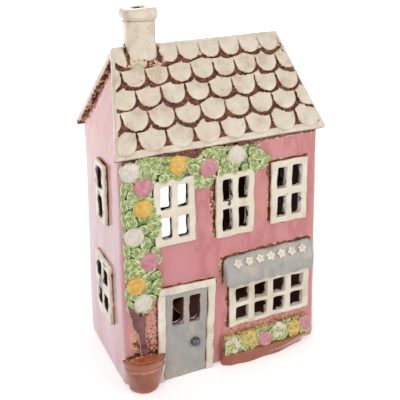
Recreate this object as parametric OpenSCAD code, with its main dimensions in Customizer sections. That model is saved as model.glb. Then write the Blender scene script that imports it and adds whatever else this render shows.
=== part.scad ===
// Ceramic tealight house in the form of a flower shop, with a climbing rose in a pot beside its door.
// Everything stands on the ground plane, with the origin under the middle of the house and the shop
// front facing -Y. The tealight stands on the floor inside and slides out through the rear opening.

/* [House] */
// Width of the house on the ground
house_w = 130; // [118:1:150]
// Depth of the house on the ground
house_d = 76.8; // [70:0.2:90]
// Height of the eaves' outer edge
eave_z = 145.6; // [140:0.2:160]
// Height of the ridge
ridge_z = 196.7; // [185:0.1:210]
// Thickness of the clay walls
wall_t = 5; // [4:0.5:7]
// Thickness of the floor slab
floor_t = 5; // [3:0.5:8]
// How far each side wall leans in between the ground and the eaves
side_in = 3.3; // [0:0.1:6]
// How far the front and back walls lean in between the ground and the eaves
front_in = 3.2; // [0:0.1:6]
// Width of the rear opening that the tealight goes through
rear_w = 62; // [50:1:66]
// Height of the crown of the rear opening's arch
rear_top = 102; // [80:1:120]

/* [Roof] */
// Thickness of the roof slabs
roof_t = 4; // [3:0.5:6]
// Overhang of the eaves in front of the walls
eave_out = 3.1; // [2:0.1:6]
// Overhang of the roof past the side walls
verge_out = 3.5; // [2:0.1:6]
// How far each end of the ridge lies inside the eaves' ends
ridge_in = 13.2; // [6:0.1:20]
// Thickness of the roof tiles
tile_t = 1.5; // [1:0.1:2.5]
// Height of the lowest tiles' edge above the eaves, along the slope
first_course = 1.6; // [1:0.1:3]
// Width of the groove under a course of tiles
course_gap = 1.5; // [1:0.1:2.5]
// Width of the groove between two tiles of a course
tile_gap = 0.8; // [0.5:0.1:1.5]
// Smooth border between the tiles and the verges
verge_margin = 2.2; // [1.5:0.1:4]
// Smooth border between the tiles and the ridge
ridge_margin = 2.4; // [1.5:0.1:4]

/* [Chimney] */
// Width of the chimney stack
stack_w = 17; // [15:0.5:20]
// Depth of the chimney stack
stack_d = 13; // [12:0.5:16]
// Radius of the stack's upright corners
stack_r = 4; // [2:0.5:5]
// Width of the flue inside the stack
flue_w = 7.5; // [7:0.5:10]
// Depth of the flue inside the stack
flue_d = 5.6; // [5.5:0.1:7]
// Height of the chimney's top above the ridge
chimney_rise = 20.3; // [16:0.1:30]
// Height of the collar round the chimney's top
collar_h = 6.5; // [4:0.5:9]
// How far the collar stands out round the stack
collar_out = 1.6; // [1:0.1:3]
// Width of the seam left round the stack among the roof tiles
seam = 0.6; // [0.3:0.1:1]

/* [Windows] */
// Width of an upper front window
window_w = 24.6; // [22:0.2:26]
// Height of an upper front window
window_h = 39.6; // [37:0.2:41]
// Width of an upper window's pane
pane_w = 6.4; // [5:0.1:7]
// Height of an upper window's pane
pane_h = 13.4; // [12:0.1:14]
// Width of the bar between two upper panes
bar_w = 3.8; // [3:0.1:4.5]
// Height of the bar between the upper panes' two rows
bar_h = 5; // [4:0.1:5.5]
// How far the window tiles stand out of the wall
tile_proud = 2.4; // [1.5:0.1:3]
// Depth of a window tile's plug inside the wall's opening
plug_t = 2.6; // [1.5:0.1:3.5]
// How far a window tile laps over the wall round its opening
lap = 2; // [1.5:0.1:2.5]
// Width of the shop window
shop_w = 56.6; // [54:0.2:58]
// Height of the shop window
shop_h = 29; // [28:0.2:30]
// Height of the shop window's lower edge
shop_z = 25; // [23:0.5:26]
// Width of a shop window's pane
shop_pane_w = 8.7; // [7.5:0.1:9]
// Height of a shop window's pane
shop_pane_h = 10; // [9:0.1:10.4]
// Width of the bars between the shop window's panes
shop_bar_w = 4.2; // [3.5:0.1:4.6]
// Height of the bar between the shop window's two rows of panes
shop_bar_h = 2.8; // [2:0.1:3.2]
// Width of an upper side window
side_w = 17; // [15:0.5:19]
// Height of an upper side window
side_h = 37; // [35:0.5:39]
// Width of the panes in the side windows
side_pane_w = 7.4; // [6:0.1:8]
// Height of the panes in an upper side window
side_pane_h = 12.6; // [11:0.1:13]
// Width of a lower side window
low_w = 27; // [25:0.5:29]
// Height of a lower side window
low_h = 39.4; // [37:0.2:41]
// Height of the panes in a lower side window
low_pane_h = 10; // [9:0.1:11]
// Height of the bar across the middle of a lower side window
low_bar_h = 8; // [6:0.1:9]

/* [Door] */
// Width of the door between its jambs
door_w = 27.2; // [25:0.2:29]
// Height of the door
door_h = 58; // [54:0.5:60]
// How far the door stands out of the wall
door_proud = 1.2; // [0.8:0.1:1.8]
// Width of the jambs and height of the head over the door
jamb_w = 4.6; // [3.5:0.1:5.5]
// Angle by which the door was set askew, in degrees
door_tilt = 2.7; // [0:0.1:3.5]
// Width of a pane in the door
door_pane_w = 6.9; // [5.5:0.1:7.5]
// Height of a pane in the door
door_pane_h = 18; // [15:0.5:19]
// Radius of the door knob
knob_r = 3.1; // [2:0.1:3.5]

/* [Awning] */
// Width of the awning
awning_w = 61; // [56:0.5:64]
// Height of the awning's curved top
awning_h = 17; // [15:0.5:20]
// How far the awning's lip stands out of the wall
awning_out = 6.5; // [5:0.1:9]
// Height of the wall left between the shop window and the awning
awning_gap = 3; // [1:0.1:5]
// Drop of the scalloped edge below the awning
valance_h = 2.2; // [1.8:0.1:3]
// Thickness of the scalloped edge
valance_t = 1.6; // [1:0.1:2]
// Number of scallops along the awning's edge
scallops = 7; // [5:1:9]
// Radius of the blossoms on the awning
blossom_r = 2.3; // [1.6:0.1:2.6]
// Number of blossoms on the awning
blossoms = 7; // [5:1:9]
// Thickness of the blossoms on the awning
blossom_t = 0.9; // [0.5:0.1:1.2]

/* [Planting] */
// Outer radius of the pot's rim
pot_r = 12.9; // [11:0.1:13.5]
// Outer radius of the pot at the ground
pot_foot_r = 9.8; // [8:0.1:10.5]
// Height of the pot with its rim
pot_h = 23; // [20:0.5:25]
// Height of the pot's rim
rim_h = 6.4; // [4:0.1:7]
// Thickness of the pot's rim
rim_t = 2.8; // [1.5:0.1:3.2]
// Distance from the wall's face in to the pot's upright axis
pot_sink = 1.5; // [1:0.1:3]
// Width of the window box at its rim
box_w = 63; // [58:0.5:66]
// Height of the window box
box_h = 8.5; // [7:0.1:10]
// How far the window box's rim stands out of the wall
box_out = 8.6; // [8:0.1:12]
// How far the window box's two ends stand out of the wall
box_end = 7.2; // [3:0.1:7.5]
// How far the window box draws in between its rim and the ground
box_draw = 1.5; // [1:0.1:3]
// How far the window box's right end leans in from its rim to the ground
box_lean = 4; // [1:0.1:6]
// Height of the foliage above the window box
foliage_h = 11; // [9:0.1:12]
// Radius of the flowers in the window box
flower_r = 4.3; // [3.5:0.1:4.6]
// Thickness of the flowers in the window box
flower_t = 1.8; // [1:0.1:2.5]
// Thickness of the mat that the rose's leaves stand on
mat_t = 1.4; // [1:0.1:2]
// Radius of the climbing roses
rose_r = 5.2; // [4.4:0.1:5.5]
// Height of the climbing roses above their mat
rose_h = 3.2; // [2:0.1:4]
// Length of a rose leaf
leaf_l = 6.6; // [5:0.1:6.8]
// Width of a rose leaf
leaf_w = 3.8; // [3:0.1:4.2]
// Thickness of a rose leaf
leaf_t = 1; // [0.6:0.1:1.5]
// Width of the rose's stem
stem_w = 5; // [4:0.1:6]
// Thickness of the rose's stem
stem_t = 2.8; // [2:0.1:3.5]

/* [Tealight] */
// Radius of the tealight's metal cup
cup_r = 19; // [18:0.5:20]
// Height of the tealight's metal cup
cup_h = 16; // [12:0.5:18]
// Thickness of the cup's metal
cup_t = 0.4; // [0.3:0.1:0.8]
// Depth of the wax
wax_h = 12.5; // [9:0.5:14]
// Radius of the wick
wick_r = 0.9; // [0.6:0.1:1.2]
// Height of the wick above the wax
wick_out = 6; // [4:0.5:8]
// Radius of the metal tab that holds the wick
tab_r = 6; // [4:0.5:8]
// Thickness of that tab
tab_t = 0.5; // [0.3:0.1:0.8]

/* [Hidden] */
$fn = 64;

// Overrun of every cut past the solid that it cuts
over = 1;
// Room left between pieces that lie beside each other
clear = 0.2;
// Side of the blocks that cut away half of space
far = 3 * ridge_z;

// Outlines of the walls and the roof
front_half = house_d / 2;
side_half = house_w / 2;
front_lean = atan(front_in / eave_z);
side_lean = atan(side_in / eave_z);
eave_half = front_half - front_in + eave_out;
roof_half = side_half - side_in + verge_out;
ridge_half = roof_half - ridge_in;
pitch = atan((ridge_z - eave_z) / eave_half);
slope_l = norm([eave_half, ridge_z - eave_z]);
gable_lean = atan((roof_half - ridge_half) / (ridge_z - eave_z));
wall_top = eave_z + (eave_out - roof_t / sin(pitch)) * tan(pitch);
arch_r = rear_w / 2;

// The chimney stands on the ridge, towards the left end
stack_x_share = -0.548;
stack_x = stack_x_share * side_half;
stack_low = ridge_z - stack_d * tan(pitch);
chimney_top = ridge_z + chimney_rise;
flue_r = flue_d / 3;

// Courses of tiles: how many lie across, and how far each course is shifted
courses = 5;
last_course_share = 1.062;
course_step = (slope_l - first_course) / (courses - 1 + last_course_share);
tiles_across = 8;
tiles_more_share = 0.12;
shift_even_share = -0.12;
shift_odd_share = 0.3;

// Places of the windows and the door, as shares of half the width and of the eaves' height
window_left_shares = [-0.497, 0.753];
window_middle_shares = [0.082, 0.736];
window_right_shares = [0.637, 0.745];
shop_x_share = 0.455;
side_upper_shares = [0.078, 0.785];
side_lower_shares = [0.055, 0.354];
door_x_share = -0.4415;
pot_x_share = -0.838;
box_x_share = 0.417;
door_panes_share = 0.775;
knob_shares = [0.217, 0.385];

window_left_at = [window_left_shares[0] * side_half, window_left_shares[1] * eave_z];
window_middle_at = [window_middle_shares[0] * side_half, window_middle_shares[1] * eave_z];
window_right_at = [window_right_shares[0] * side_half, window_right_shares[1] * eave_z];
shop_at = [shop_x_share * side_half, shop_z + shop_h / 2];
side_upper_at = [side_upper_shares[0] * front_half, side_upper_shares[1] * eave_z];
side_lower_at = [side_lower_shares[0] * front_half, side_lower_shares[1] * eave_z];
door_x = door_x_share * side_half;
frame_w = door_w + 2 * jamb_w;
frame_h = door_h + jamb_w;

// The awning is part of a cylinder that lies along the wall, over the shop window
awning_x_share = 0.4354;
awning_x = awning_x_share * side_half;
awning_z = shop_z + shop_h + awning_gap;
awning_r = (awning_out * awning_out + awning_h * awning_h) / (2 * awning_out);
awning_sink = awning_r - awning_out;
blossom_rise_share = 0.7;
blossom_row_share = 0.85;
blossom_angle = asin(blossom_rise_share * awning_h / awning_r);
scallop_w = awning_w / scallops;
// The scallops hang from a narrow band, and each is an arc as wide as its share of the awning
band_h_share = 0.25;
band_h = band_h_share * valance_h;
scallop_r = (scallop_w * scallop_w / 4 + (valance_h - band_h) * (valance_h - band_h))
    / (2 * (valance_h - band_h));

// The window box and its foliage are parts of upright cones, cut off by the wall
box_x = box_x_share * side_half;
box_bow = box_out - box_end;
box_r = (box_w * box_w / 4 + box_bow * box_bow) / (2 * box_bow);
box_sink = box_r - box_out;
foliage_in_share = 0.28;
foliage_in = foliage_in_share * box_out;
foliage_draw_share = 0.34;
foliage_draw = foliage_draw_share * box_out;
foliage_lean = atan(foliage_draw / foliage_h);
foliage_r = box_r - foliage_in;
flower_rise_shares = [0.44, 0.62, 0.42, 0.65, 0.46, 0.6];
flower_angle_shares = [-0.8, -0.42, -0.09, 0.24, 0.6, 0.88];
foliage_angle = asin(box_w / 2 / box_r);
petal_at_share = 0.6;
petal_r_share = 0.42;
eye_share = 0.3;

// The climbing rose: its blooms and the lobes of its mat, as shares of half the width and the eaves' height
rose_white_shares = [[-0.885, 0.944], [-0.878, 0.686], [-0.825, 0.396], [0.097, 0.943]];
rose_pink_shares = [[-0.778, 0.882], [-0.754, 0.571], [-0.182, 0.911]];
rose_yellow_shares = [[-0.458, 0.943], [-0.782, 0.793], [-0.88, 0.478]];
lobe_shares = [[-0.838, 0.44], [-0.84, 0.51], [-0.838, 0.58], [-0.84, 0.65], [-0.84, 0.72],
    [-0.84, 0.79], [-0.84, 0.86], [-0.82, 0.93]];
band_shares = [[-0.68, 0.935], [-0.53, 0.935], [-0.38, 0.94], [-0.22, 0.93], [-0.07, 0.94],
    [0.08, 0.935], [0.22, 0.935], [0.34, 0.935]];
column_r = 2 * rose_r;
band_share = 1.66;
band_r = band_share * rose_r;
drop_share = 0.7;
drop_r = drop_share * band_r;
tip_shares = [0.43, 0.925];
drop_shares = [-0.208, 0.886];
column_leaf_shares = [-0.94, -0.84, -0.74];
leaf_lift_share = 0.945;
stem_outline_shares = [[-0.4, 0], [0.45, 0], [0.38, 0.3], [0.2, 0.58], [0.36, 0.76], [0.75, 0.92],
    [0.95, 1.04], [0.8, 1.2], [0.4, 1.2], [0.1, 0.92], [-0.12, 0.8], [-0.6, 0.94], [-0.9, 1.2],
    [-1.7, 1.2], [-1.5, 0.9], [-0.95, 0.6], [-0.5, 0.3]];

// Heights in the pot and in the tealight
pot_x = pot_x_share * side_half;
pot_neck_r = pot_r - rim_t / 2;
soil_z = pot_h - rim_t / 3;
stem_h = (lobe_shares[0][1] * eave_z - column_r) - soil_z;
cup_in_r = cup_r - cup_t;

cream = [0.91, 0.87, 0.79];
pink = [0.86, 0.60, 0.61];
rust = [0.42, 0.20, 0.12];
green = [0.48, 0.68, 0.38];
yellow = [0.95, 0.75, 0.32];
rose_pink = [0.84, 0.56, 0.64];
grey = [0.66, 0.69, 0.72];
terracotta = [0.72, 0.42, 0.34];
bark = [0.40, 0.24, 0.24];
copper = [0.60, 0.40, 0.30];
cinnamon = [0.38, 0.17, 0.12];

// Puts a drawing on the outer face of a wall: x to the right, y up the wall, z out of it
module on_wall(turn, half, lean)
    rotate([0, 0, turn]) translate([0, -half, 0]) rotate([90 - lean, 0, 0]) children();

module on_front() on_wall(0, front_half, front_lean) children();

module on_right() on_wall(90, side_half, side_lean) children();

module on_back() on_wall(180, front_half, front_lean) children();

module on_left() on_wall(270, side_half, side_lean) children();

// Puts a drawing on the outer face of a roof slope: x along the eaves, y up the slope, z out of it
module on_slope(turn)
    rotate([0, 0, turn]) translate([0, -eave_half, eave_z]) rotate([pitch, 0, 0]) children();

// Half of space, on the outer side of the face z = depth of whatever it is put on
module beyond(depth) translate([-far / 2, -far / 2, depth]) cube(far);

module underground() translate([-far / 2, -far / 2, -far]) cube(far);

// All that lies above the underside of a roof slope
module over_slope(turn) on_slope(turn) beyond(-roof_t);

// All that lies under the roof's outer faces
module roof_body()
    translate([-far / 2, 0, 0]) rotate([90, 0, 90]) linear_extrude(far)
        polygon([[-eave_half, eave_z], [eave_half, eave_z], [0, ridge_z]]);

// A rectangle with rounded corners, centred
module round_rect(w, d, r)
    union() {
        square([w - 2 * r, d], center = true);
        square([w, d - 2 * r], center = true);
        for (x = [-1, 1], y = [-1, 1])
            translate([x * (w / 2 - r), y * (d / 2 - r)]) circle(r);
    }

// The outline of a wall before the roof cuts it, with its sides drawn in towards the top
module wall_outline(half, in)
    polygon([[-half, -over], [half, -over], [half - in * ridge_z / eave_z, ridge_z],
        [-half + in * ridge_z / eave_z, ridge_z]]);

// Rows and columns of panes about one centre
module panes(cols, rows, w, h, gap_x, gap_y)
    for (i = [0 : cols - 1], j = [0 : rows - 1])
        translate([(i - (cols - 1) / 2) * (w + gap_x), (j - (rows - 1) / 2) * (h + gap_y)])
            square([w, h], center = true);

// A window tile with its plug, and the opening that the plug fills
module window_tile(w, h)
    union() {
        linear_extrude(tile_proud) difference() {
            square([w, h], center = true);
            children();
        }
        translate([0, 0, -plug_t]) linear_extrude(plug_t) difference() {
            square([w - 2 * lap, h - 2 * lap], center = true);
            children();
        }
    }

module wall_opening(w, h)
    translate([0, 0, -wall_t - over]) linear_extrude(wall_t + 2 * over)
        square([w - 2 * lap, h - 2 * lap], center = true);

module upper_panes() panes(2, 2, pane_w, pane_h, bar_w, bar_h);

module shop_panes() panes(4, 2, shop_pane_w, shop_pane_h, shop_bar_w, shop_bar_h);

module side_panes() panes(1, 2, side_pane_w, side_pane_h, bar_w, bar_h);

module low_panes() panes(2, 2, side_pane_w, low_pane_h, bar_w, low_bar_h);

module door_panes()
    translate([0, door_panes_share * door_h]) panes(2, 1, door_pane_w, door_pane_h, bar_w, bar_h);

// Puts a drawing on the front wall where the door stands, askew as it was set
module at_door() on_front() translate([door_x, 0, 0]) rotate([0, 0, -door_tilt]) children();

module floor_slab()
    color(rust) difference() {
        translate([-side_half, -front_half, 0]) cube([house_w, house_d, floor_t]);
        on_front() beyond(-wall_t);
        on_back() beyond(-wall_t);
        on_left() beyond(-wall_t);
        on_right() beyond(-wall_t);
    }

module front_wall()
    color(pink) difference() {
        on_front() translate([0, 0, -wall_t]) linear_extrude(wall_t) wall_outline(side_half, side_in);
        over_slope(0);
        underground();
        on_front() {
            translate(window_left_at) wall_opening(window_w, window_h);
            translate(window_middle_at) wall_opening(window_w, window_h);
            translate(window_right_at) wall_opening(window_w, window_h);
            translate(shop_at) wall_opening(shop_w, shop_h);
        }
        at_door() translate([0, 0, -wall_t - over]) linear_extrude(wall_t + 2 * over) door_panes();
    }

module back_wall()
    color(pink) difference() {
        on_back() translate([0, 0, -wall_t]) linear_extrude(wall_t) wall_outline(side_half, side_in);
        over_slope(180);
        underground();
        on_back() translate([0, 0, -wall_t - over]) linear_extrude(wall_t + 2 * over) {
            translate([-arch_r, floor_t]) square([rear_w, rear_top - arch_r - floor_t]);
            translate([0, rear_top - arch_r]) circle(arch_r);
        }
    }

// A side wall fits between the front and back walls and ends level with the eaves
module side_wall(turn, mirrored)
    difference() {
        on_wall(turn, side_half, side_lean) translate([0, 0, -wall_t]) linear_extrude(wall_t)
            wall_outline(front_half, 0);
        on_front() beyond(-wall_t);
        on_back() beyond(-wall_t);
        underground();
        translate([-far / 2, -far / 2, eave_z]) cube(far);
        on_wall(turn, side_half, side_lean) {
            translate([mirrored * side_upper_at[0], side_upper_at[1]]) wall_opening(side_w, side_h);
            translate([mirrored * side_lower_at[0], side_lower_at[1]]) wall_opening(low_w, low_h);
        }
    }

module left_wall() color(pink) side_wall(270, 1);

module right_wall() color(pink) side_wall(90, -1);

// A gable leans in from the eaves to the ridge, under both slopes
module gable(turn)
    difference() {
        rotate([0, 0, turn]) translate([0, -side_half + side_in, eave_z]) rotate([90 - gable_lean, 0, 0])
            translate([0, 0, -wall_t]) linear_extrude(wall_t)
                translate([-front_half, -wall_t]) square([house_d, ridge_z]);
        on_front() beyond(-wall_t);
        on_back() beyond(-wall_t);
        over_slope(0);
        over_slope(180);
        translate([-far / 2, -far / 2, eave_z - far]) cube(far);
    }

module left_gable() color(pink) gable(270);

module right_gable() color(pink) gable(90);

module flue()
    translate([stack_x, 0, 0]) linear_extrude(chimney_top + over) round_rect(flue_w, flue_d, flue_r);

module roof_slab(turn)
    difference() {
        on_slope(turn) translate([0, 0, -roof_t]) linear_extrude(roof_t)
            polygon([[-roof_half, 0], [roof_half, 0], [ridge_half, slope_l], [-ridge_half, slope_l]]);
        rotate([0, 0, turn]) translate([-far / 2, 0, 0]) cube(far);
        flue();
    }

module front_roof() color(cream) roof_slab(0);

module back_roof() color(cream) roof_slab(180);

// Course k counts from 0 at the eaves
function course_y(k) = first_course + k * course_step;
function roof_half_at(y) = roof_half - ridge_in * y / slope_l;
function tile_pitch(k) = 2 * roof_half_at(course_y(k)) / (tiles_across + tiles_more_share * k);
function tile_r(k) = (tile_pitch(k) - tile_gap) / 2;
function course_shift(k) = (k % 2 == 0 ? shift_even_share : shift_odd_share) * tile_pitch(k);

// A course of tongue-shaped tiles, grown by a margin all round
module tongues(k, grow)
    for (i = [-(k % 2) : tiles_across - 1])
        translate([(i - (tiles_across - 1) / 2) * tile_pitch(k) + course_shift(k),
            course_y(k) + tile_r(k)]) {
            circle(tile_r(k) + grow);
            translate([-tile_r(k) - grow, 0]) square([2 * (tile_r(k) + grow), 2 * course_step]);
        }

module course(turn, k)
    color(cream) difference() {
        on_slope(turn) linear_extrude(tile_t) intersection() {
            difference() {
                tongues(k, 0);
                if (k < courses - 1) tongues(k + 1, course_gap);
            }
            polygon([[-roof_half + verge_margin, 0], [roof_half - verge_margin, 0],
                [ridge_half - verge_margin, slope_l - ridge_margin],
                [-ridge_half + verge_margin, slope_l - ridge_margin]]);
        }
        translate([stack_x, 0, stack_low - over]) linear_extrude(far)
            round_rect(stack_w + 2 * seam, stack_d + 2 * seam, stack_r + seam);
    }

module chimney_stack()
    color(cream) difference() {
        translate([stack_x, 0, stack_low]) linear_extrude(chimney_top - collar_h - stack_low)
            round_rect(stack_w, stack_d, stack_r);
        roof_body();
        flue();
    }

module chimney_collar()
    color(cream) difference() {
        translate([stack_x, 0, chimney_top - collar_h]) {
            linear_extrude(collar_h)
                round_rect(stack_w + collar_out, stack_d + collar_out, stack_r + collar_out / 2);
            translate([0, 0, collar_h / 4]) linear_extrude(collar_h / 2)
                round_rect(stack_w + 2 * collar_out, stack_d + 2 * collar_out, stack_r + collar_out);
        }
        flue();
    }

module upper_window_left()
    color(cream) on_front() translate(window_left_at) window_tile(window_w, window_h) upper_panes();

module upper_window_middle()
    color(cream) on_front() translate(window_middle_at) window_tile(window_w, window_h) upper_panes();

module upper_window_right()
    color(cream) on_front() translate(window_right_at) window_tile(window_w, window_h) upper_panes();

module shop_window() color(cream) on_front() translate(shop_at) window_tile(shop_w, shop_h) shop_panes();

module left_window_upper()
    color(cream) on_left() translate(side_upper_at) window_tile(side_w, side_h) side_panes();

module left_window_lower()
    color(cream) on_left() translate(side_lower_at) window_tile(low_w, low_h) low_panes();

module right_window_upper()
    color(cream) on_right() translate([-side_upper_at[0], side_upper_at[1]])
        window_tile(side_w, side_h) side_panes();

module right_window_lower()
    color(cream) on_right() translate([-side_lower_at[0], side_lower_at[1]])
        window_tile(low_w, low_h) low_panes();

module door()
    color(grey) difference() {
        at_door() linear_extrude(door_proud) difference() {
            translate([-door_w / 2, -over]) square([door_w, door_h + over]);
            door_panes();
        }
        underground();
    }

module door_jambs()
    color(cream) difference() {
        at_door() linear_extrude(tile_proud) for (x = [-frame_w / 2, door_w / 2])
            translate([x, -over]) square([jamb_w, door_h + over]);
        underground();
    }

module door_head()
    color(cream) at_door() translate([-frame_w / 2, door_h, 0]) cube([frame_w, jamb_w, tile_proud]);

module door_knob()
    color("dimgray") at_door() translate([knob_shares[0] * door_w, knob_shares[1] * door_h, door_proud])
        intersection() {
            translate([0, 0, knob_r / 4]) sphere(knob_r);
            beyond(0);
        }

module awning()
    color(grey) on_front() translate([awning_x - awning_w / 2, awning_z, 0]) intersection() {
        translate([0, 0, -awning_sink]) rotate([0, 90, 0]) cylinder(h = awning_w, r = awning_r);
        cube([awning_w, awning_h, awning_out]);
    }

module awning_valance()
    color(grey) on_front() translate([awning_x - awning_w / 2, awning_z, awning_out - valance_t])
        intersection() {
            linear_extrude(valance_t) {
                translate([0, -band_h]) square([awning_w, 2 * band_h]);
                for (i = [0 : scallops - 1]) translate([(i + 1 / 2) * scallop_w, 0]) intersection() {
                    translate([0, scallop_r - valance_h]) circle(scallop_r);
                    square([scallop_w, 2 * valance_h], center = true);
                }
            }
            translate([0, -awning_h, 0]) cube([awning_w, awning_h, valance_t]);
        }

// A row of small blossoms lies where a shop would paint its sign
module awning_blossoms()
    color(cream) on_front() translate([awning_x, awning_z, -awning_sink]) rotate([-blossom_angle, 0, 0])
        for (i = [0 : blossoms - 1])
            translate([(i - (blossoms - 1) / 2) * blossom_row_share * awning_w / blossoms, 0, awning_r])
                for (j = [0 : 4]) rotate([0, 0, 72 * j]) translate([0, blossom_r / 2, 0])
                    cylinder(h = blossom_t, r = blossom_r / 2);

function on_face(share) = [share[0] * side_half, share[1] * eave_z];
rose_places = [for (s = concat(rose_white_shares, rose_pink_shares, rose_yellow_shares)) on_face(s)];

// Everything on the front that the rose's mat grows round
module footprints() {
    for (at = [window_left_at, window_middle_at, window_right_at])
        translate(at) square([window_w + 2 * clear, window_h + 2 * clear], center = true);
    translate([door_x, 0]) rotate(-door_tilt) translate([-frame_w / 2 - clear, -over])
        square([frame_w + 2 * clear, frame_h + over + clear]);
}

module mat_outline()
    difference() {
        intersection() {
            union() {
                for (s = lobe_shares) translate(on_face(s)) circle(column_r);
                for (s = band_shares) translate(on_face(s)) circle(band_r);
                translate(on_face(tip_shares)) circle(band_r / 2);
                translate(on_face(drop_shares)) circle(drop_r);
            }
            polygon([[-side_half, 0], [side_half, 0], [side_half - side_in, wall_top - clear],
                [-side_half + side_in, wall_top - clear]]);
        }
        footprints();
    }

module rose_mat() color(green) on_front() linear_extrude(mat_t) mat_outline();

// A leaf is the lens between two arcs
module leaf()
    intersection_for (s = [-1, 1])
        translate([s * ((leaf_l * leaf_l / leaf_w - leaf_w) / 4), 0])
            circle((leaf_l * leaf_l / leaf_w + leaf_w) / 4);

function clear_of_roses(p) = min([for (q = rose_places) norm(p - q)]) > rose_r + leaf_l / 2;

column_low = lobe_shares[0][1] * eave_z - column_r / 2;
leaf_step_share = 0.95;
leaf_step = leaf_step_share * leaf_l;
leaf_rows = floor((wall_top - column_low) / leaf_step);
column_leaves = [for (j = [0 : leaf_rows - 1], i = [0 : 2])
    let (p = [column_leaf_shares[i] * side_half, column_low + j * leaf_step])
    if (clear_of_roses(p)) [p, (i - 1) * 40 + (j % 2 == 0 ? 14 : -14)]];
band_from = window_left_at[0] - window_w / 2 + leaf_l / 2;
band_to = tip_shares[0] * side_half;
band_leaves = [for (x = [band_from : leaf_step : band_to])
    let (p = [x, leaf_lift_share * eave_z])
    if (clear_of_roses(p)) [p, floor((x - band_from) / leaf_step + 0.5) % 2 == 0 ? 45 : -45]];

module rose_leaves()
    color(green) on_front() translate([0, 0, mat_t]) linear_extrude(leaf_t)
        for (l = concat(column_leaves, band_leaves)) translate(l[0]) rotate(l[1]) leaf();

// A bloom is a low dome with one ring of petals round its heart
rose_profile_shares = [[0, 0], [1, 0], [1, 0.55], [0.8, 1], [0.6, 0.7], [0.4, 1], [0, 1]];

module rose() rotate_extrude() polygon([for (s = rose_profile_shares) [s[0] * rose_r, s[1] * rose_h]]);

module roses(shares)
    on_front() for (s = shares) translate([on_face(s)[0], on_face(s)[1], mat_t]) rose();

module roses_white() color("white") roses(rose_white_shares);

module roses_pink() color(rose_pink) roses(rose_pink_shares);

module roses_yellow() color(yellow) roses(rose_yellow_shares);

module rose_stem()
    color(bark) difference() {
        on_front() linear_extrude(stem_t) difference() {
            translate([pot_x, soil_z])
                polygon([for (s = stem_outline_shares) [s[0] * stem_w, s[1] * stem_h]]);
            mat_outline();
            for (p = rose_places) translate(p) circle(rose_r + clear);
        }
        translate([-far / 2, -far / 2, soil_z - far]) cube(far);
        door_space();
    }

// The room that the door and its jambs take in front of the wall
module door_space()
    at_door() translate([-frame_w / 2 - clear, -over, -over])
        cube([frame_w + 2 * clear, frame_h + over, tile_proud + over + clear]);

// Half of a round pot: what of it lies in front of the wall and clear of the door
module in_front(x, sink)
    difference() {
        intersection() {
            translate([x, -front_half + sink, 0]) children();
            on_front() beyond(0);
        }
        door_space();
    }

module pot()
    color(terracotta) in_front(pot_x, pot_sink)
        cylinder(h = pot_h - rim_h, r1 = pot_foot_r, r2 = pot_neck_r - rim_t / 4);

module pot_rim()
    color(terracotta) in_front(pot_x, pot_sink) translate([0, 0, pot_h - rim_h]) difference() {
        cylinder(h = rim_h, r1 = pot_neck_r, r2 = pot_r);
        translate([0, 0, -over]) cylinder(h = rim_h + 2 * over, r = pot_r - rim_t);
    }

module pot_soil()
    color(rust) in_front(pot_x, pot_sink) translate([0, 0, pot_h - rim_h])
        cylinder(h = soil_z - pot_h + rim_h, r = pot_r - rim_t);

// All that lies between the window box's two ends, and a margin within them
module between_ends(margin)
    translate([box_x - box_w / 2 + margin, -far / 2, -over]) cube([box_w - 2 * margin, far, far]);

// The two ends of the window box, upright on the left and leaning in towards the ground on the right
module box_ends()
    translate([box_x, far / 2, 0]) rotate([90, 0, 0]) linear_extrude(far)
        polygon([[-box_w / 2, -box_h], [box_w / 2 - 2 * box_lean, -box_h],
            [box_w / 2 + box_lean, 2 * box_h], [-box_w / 2, 2 * box_h]]);

module window_box()
    color(terracotta) intersection() {
        in_front(box_x, box_sink) cylinder(h = box_h, r1 = box_r - box_draw, r2 = box_r, $fn = 180);
        box_ends();
    }

module box_foliage()
    color(green) intersection() {
        in_front(box_x, box_sink) translate([0, 0, box_h])
            cylinder(h = foliage_h, r1 = foliage_r, r2 = foliage_r - foliage_draw, $fn = 180);
        between_ends(foliage_in);
    }

// Puts a flower on the foliage's outer face, at its share of the way round and up
module on_foliage(i)
    translate([box_x, -front_half + box_sink, box_h]) rotate([0, 0, flower_angle_shares[i] * foliage_angle])
        translate([0, -foliage_r + flower_rise_shares[i] * foliage_draw, flower_rise_shares[i] * foliage_h])
            rotate([90 - foliage_lean, 0, 0]) children();

// Outline of five round petals about an open eye
module petals()
    difference() {
        for (j = [0 : 4]) rotate(72 * j) translate([0, flower_r * petal_at_share]) rotate(90)
            circle(flower_r * petal_r_share);
        circle(flower_r * eye_share);
    }

// A flower of the window box, cut off where it would meet the wall
module flower(i)
    intersection() {
        on_foliage(i) linear_extrude(flower_t) petals();
        on_front() beyond(clear);
    }

module box_flowers_white() color("white") for (i = [0, 3]) flower(i);

module box_flowers_yellow() color(yellow) for (i = [1, 4]) flower(i);

module box_flowers_pink() color(rose_pink) for (i = [2, 5]) flower(i);

module box_flower_eyes()
    color(yellow) intersection() {
        for (i = [0 : 5]) on_foliage(i) cylinder(h = flower_t + clear, r = flower_r * eye_share);
        on_front() beyond(clear);
    }

module tealight_cup()
    color(copper) translate([0, 0, floor_t]) difference() {
        cylinder(h = cup_h, r = cup_r);
        translate([0, 0, cup_t]) cylinder(h = cup_h, r = cup_in_r);
    }

module tealight_wax()
    color(cinnamon) translate([0, 0, floor_t + cup_t]) difference() {
        cylinder(h = wax_h, r = cup_in_r - cup_t / 4);
        translate([0, 0, -over]) cylinder(h = wax_h + 2 * over, r = wick_r);
        translate([0, 0, -over]) cylinder(h = tab_t + over, r = tab_r);
    }

module tealight_tab() color(copper) translate([0, 0, floor_t + cup_t]) cylinder(h = tab_t, r = tab_r);

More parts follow.
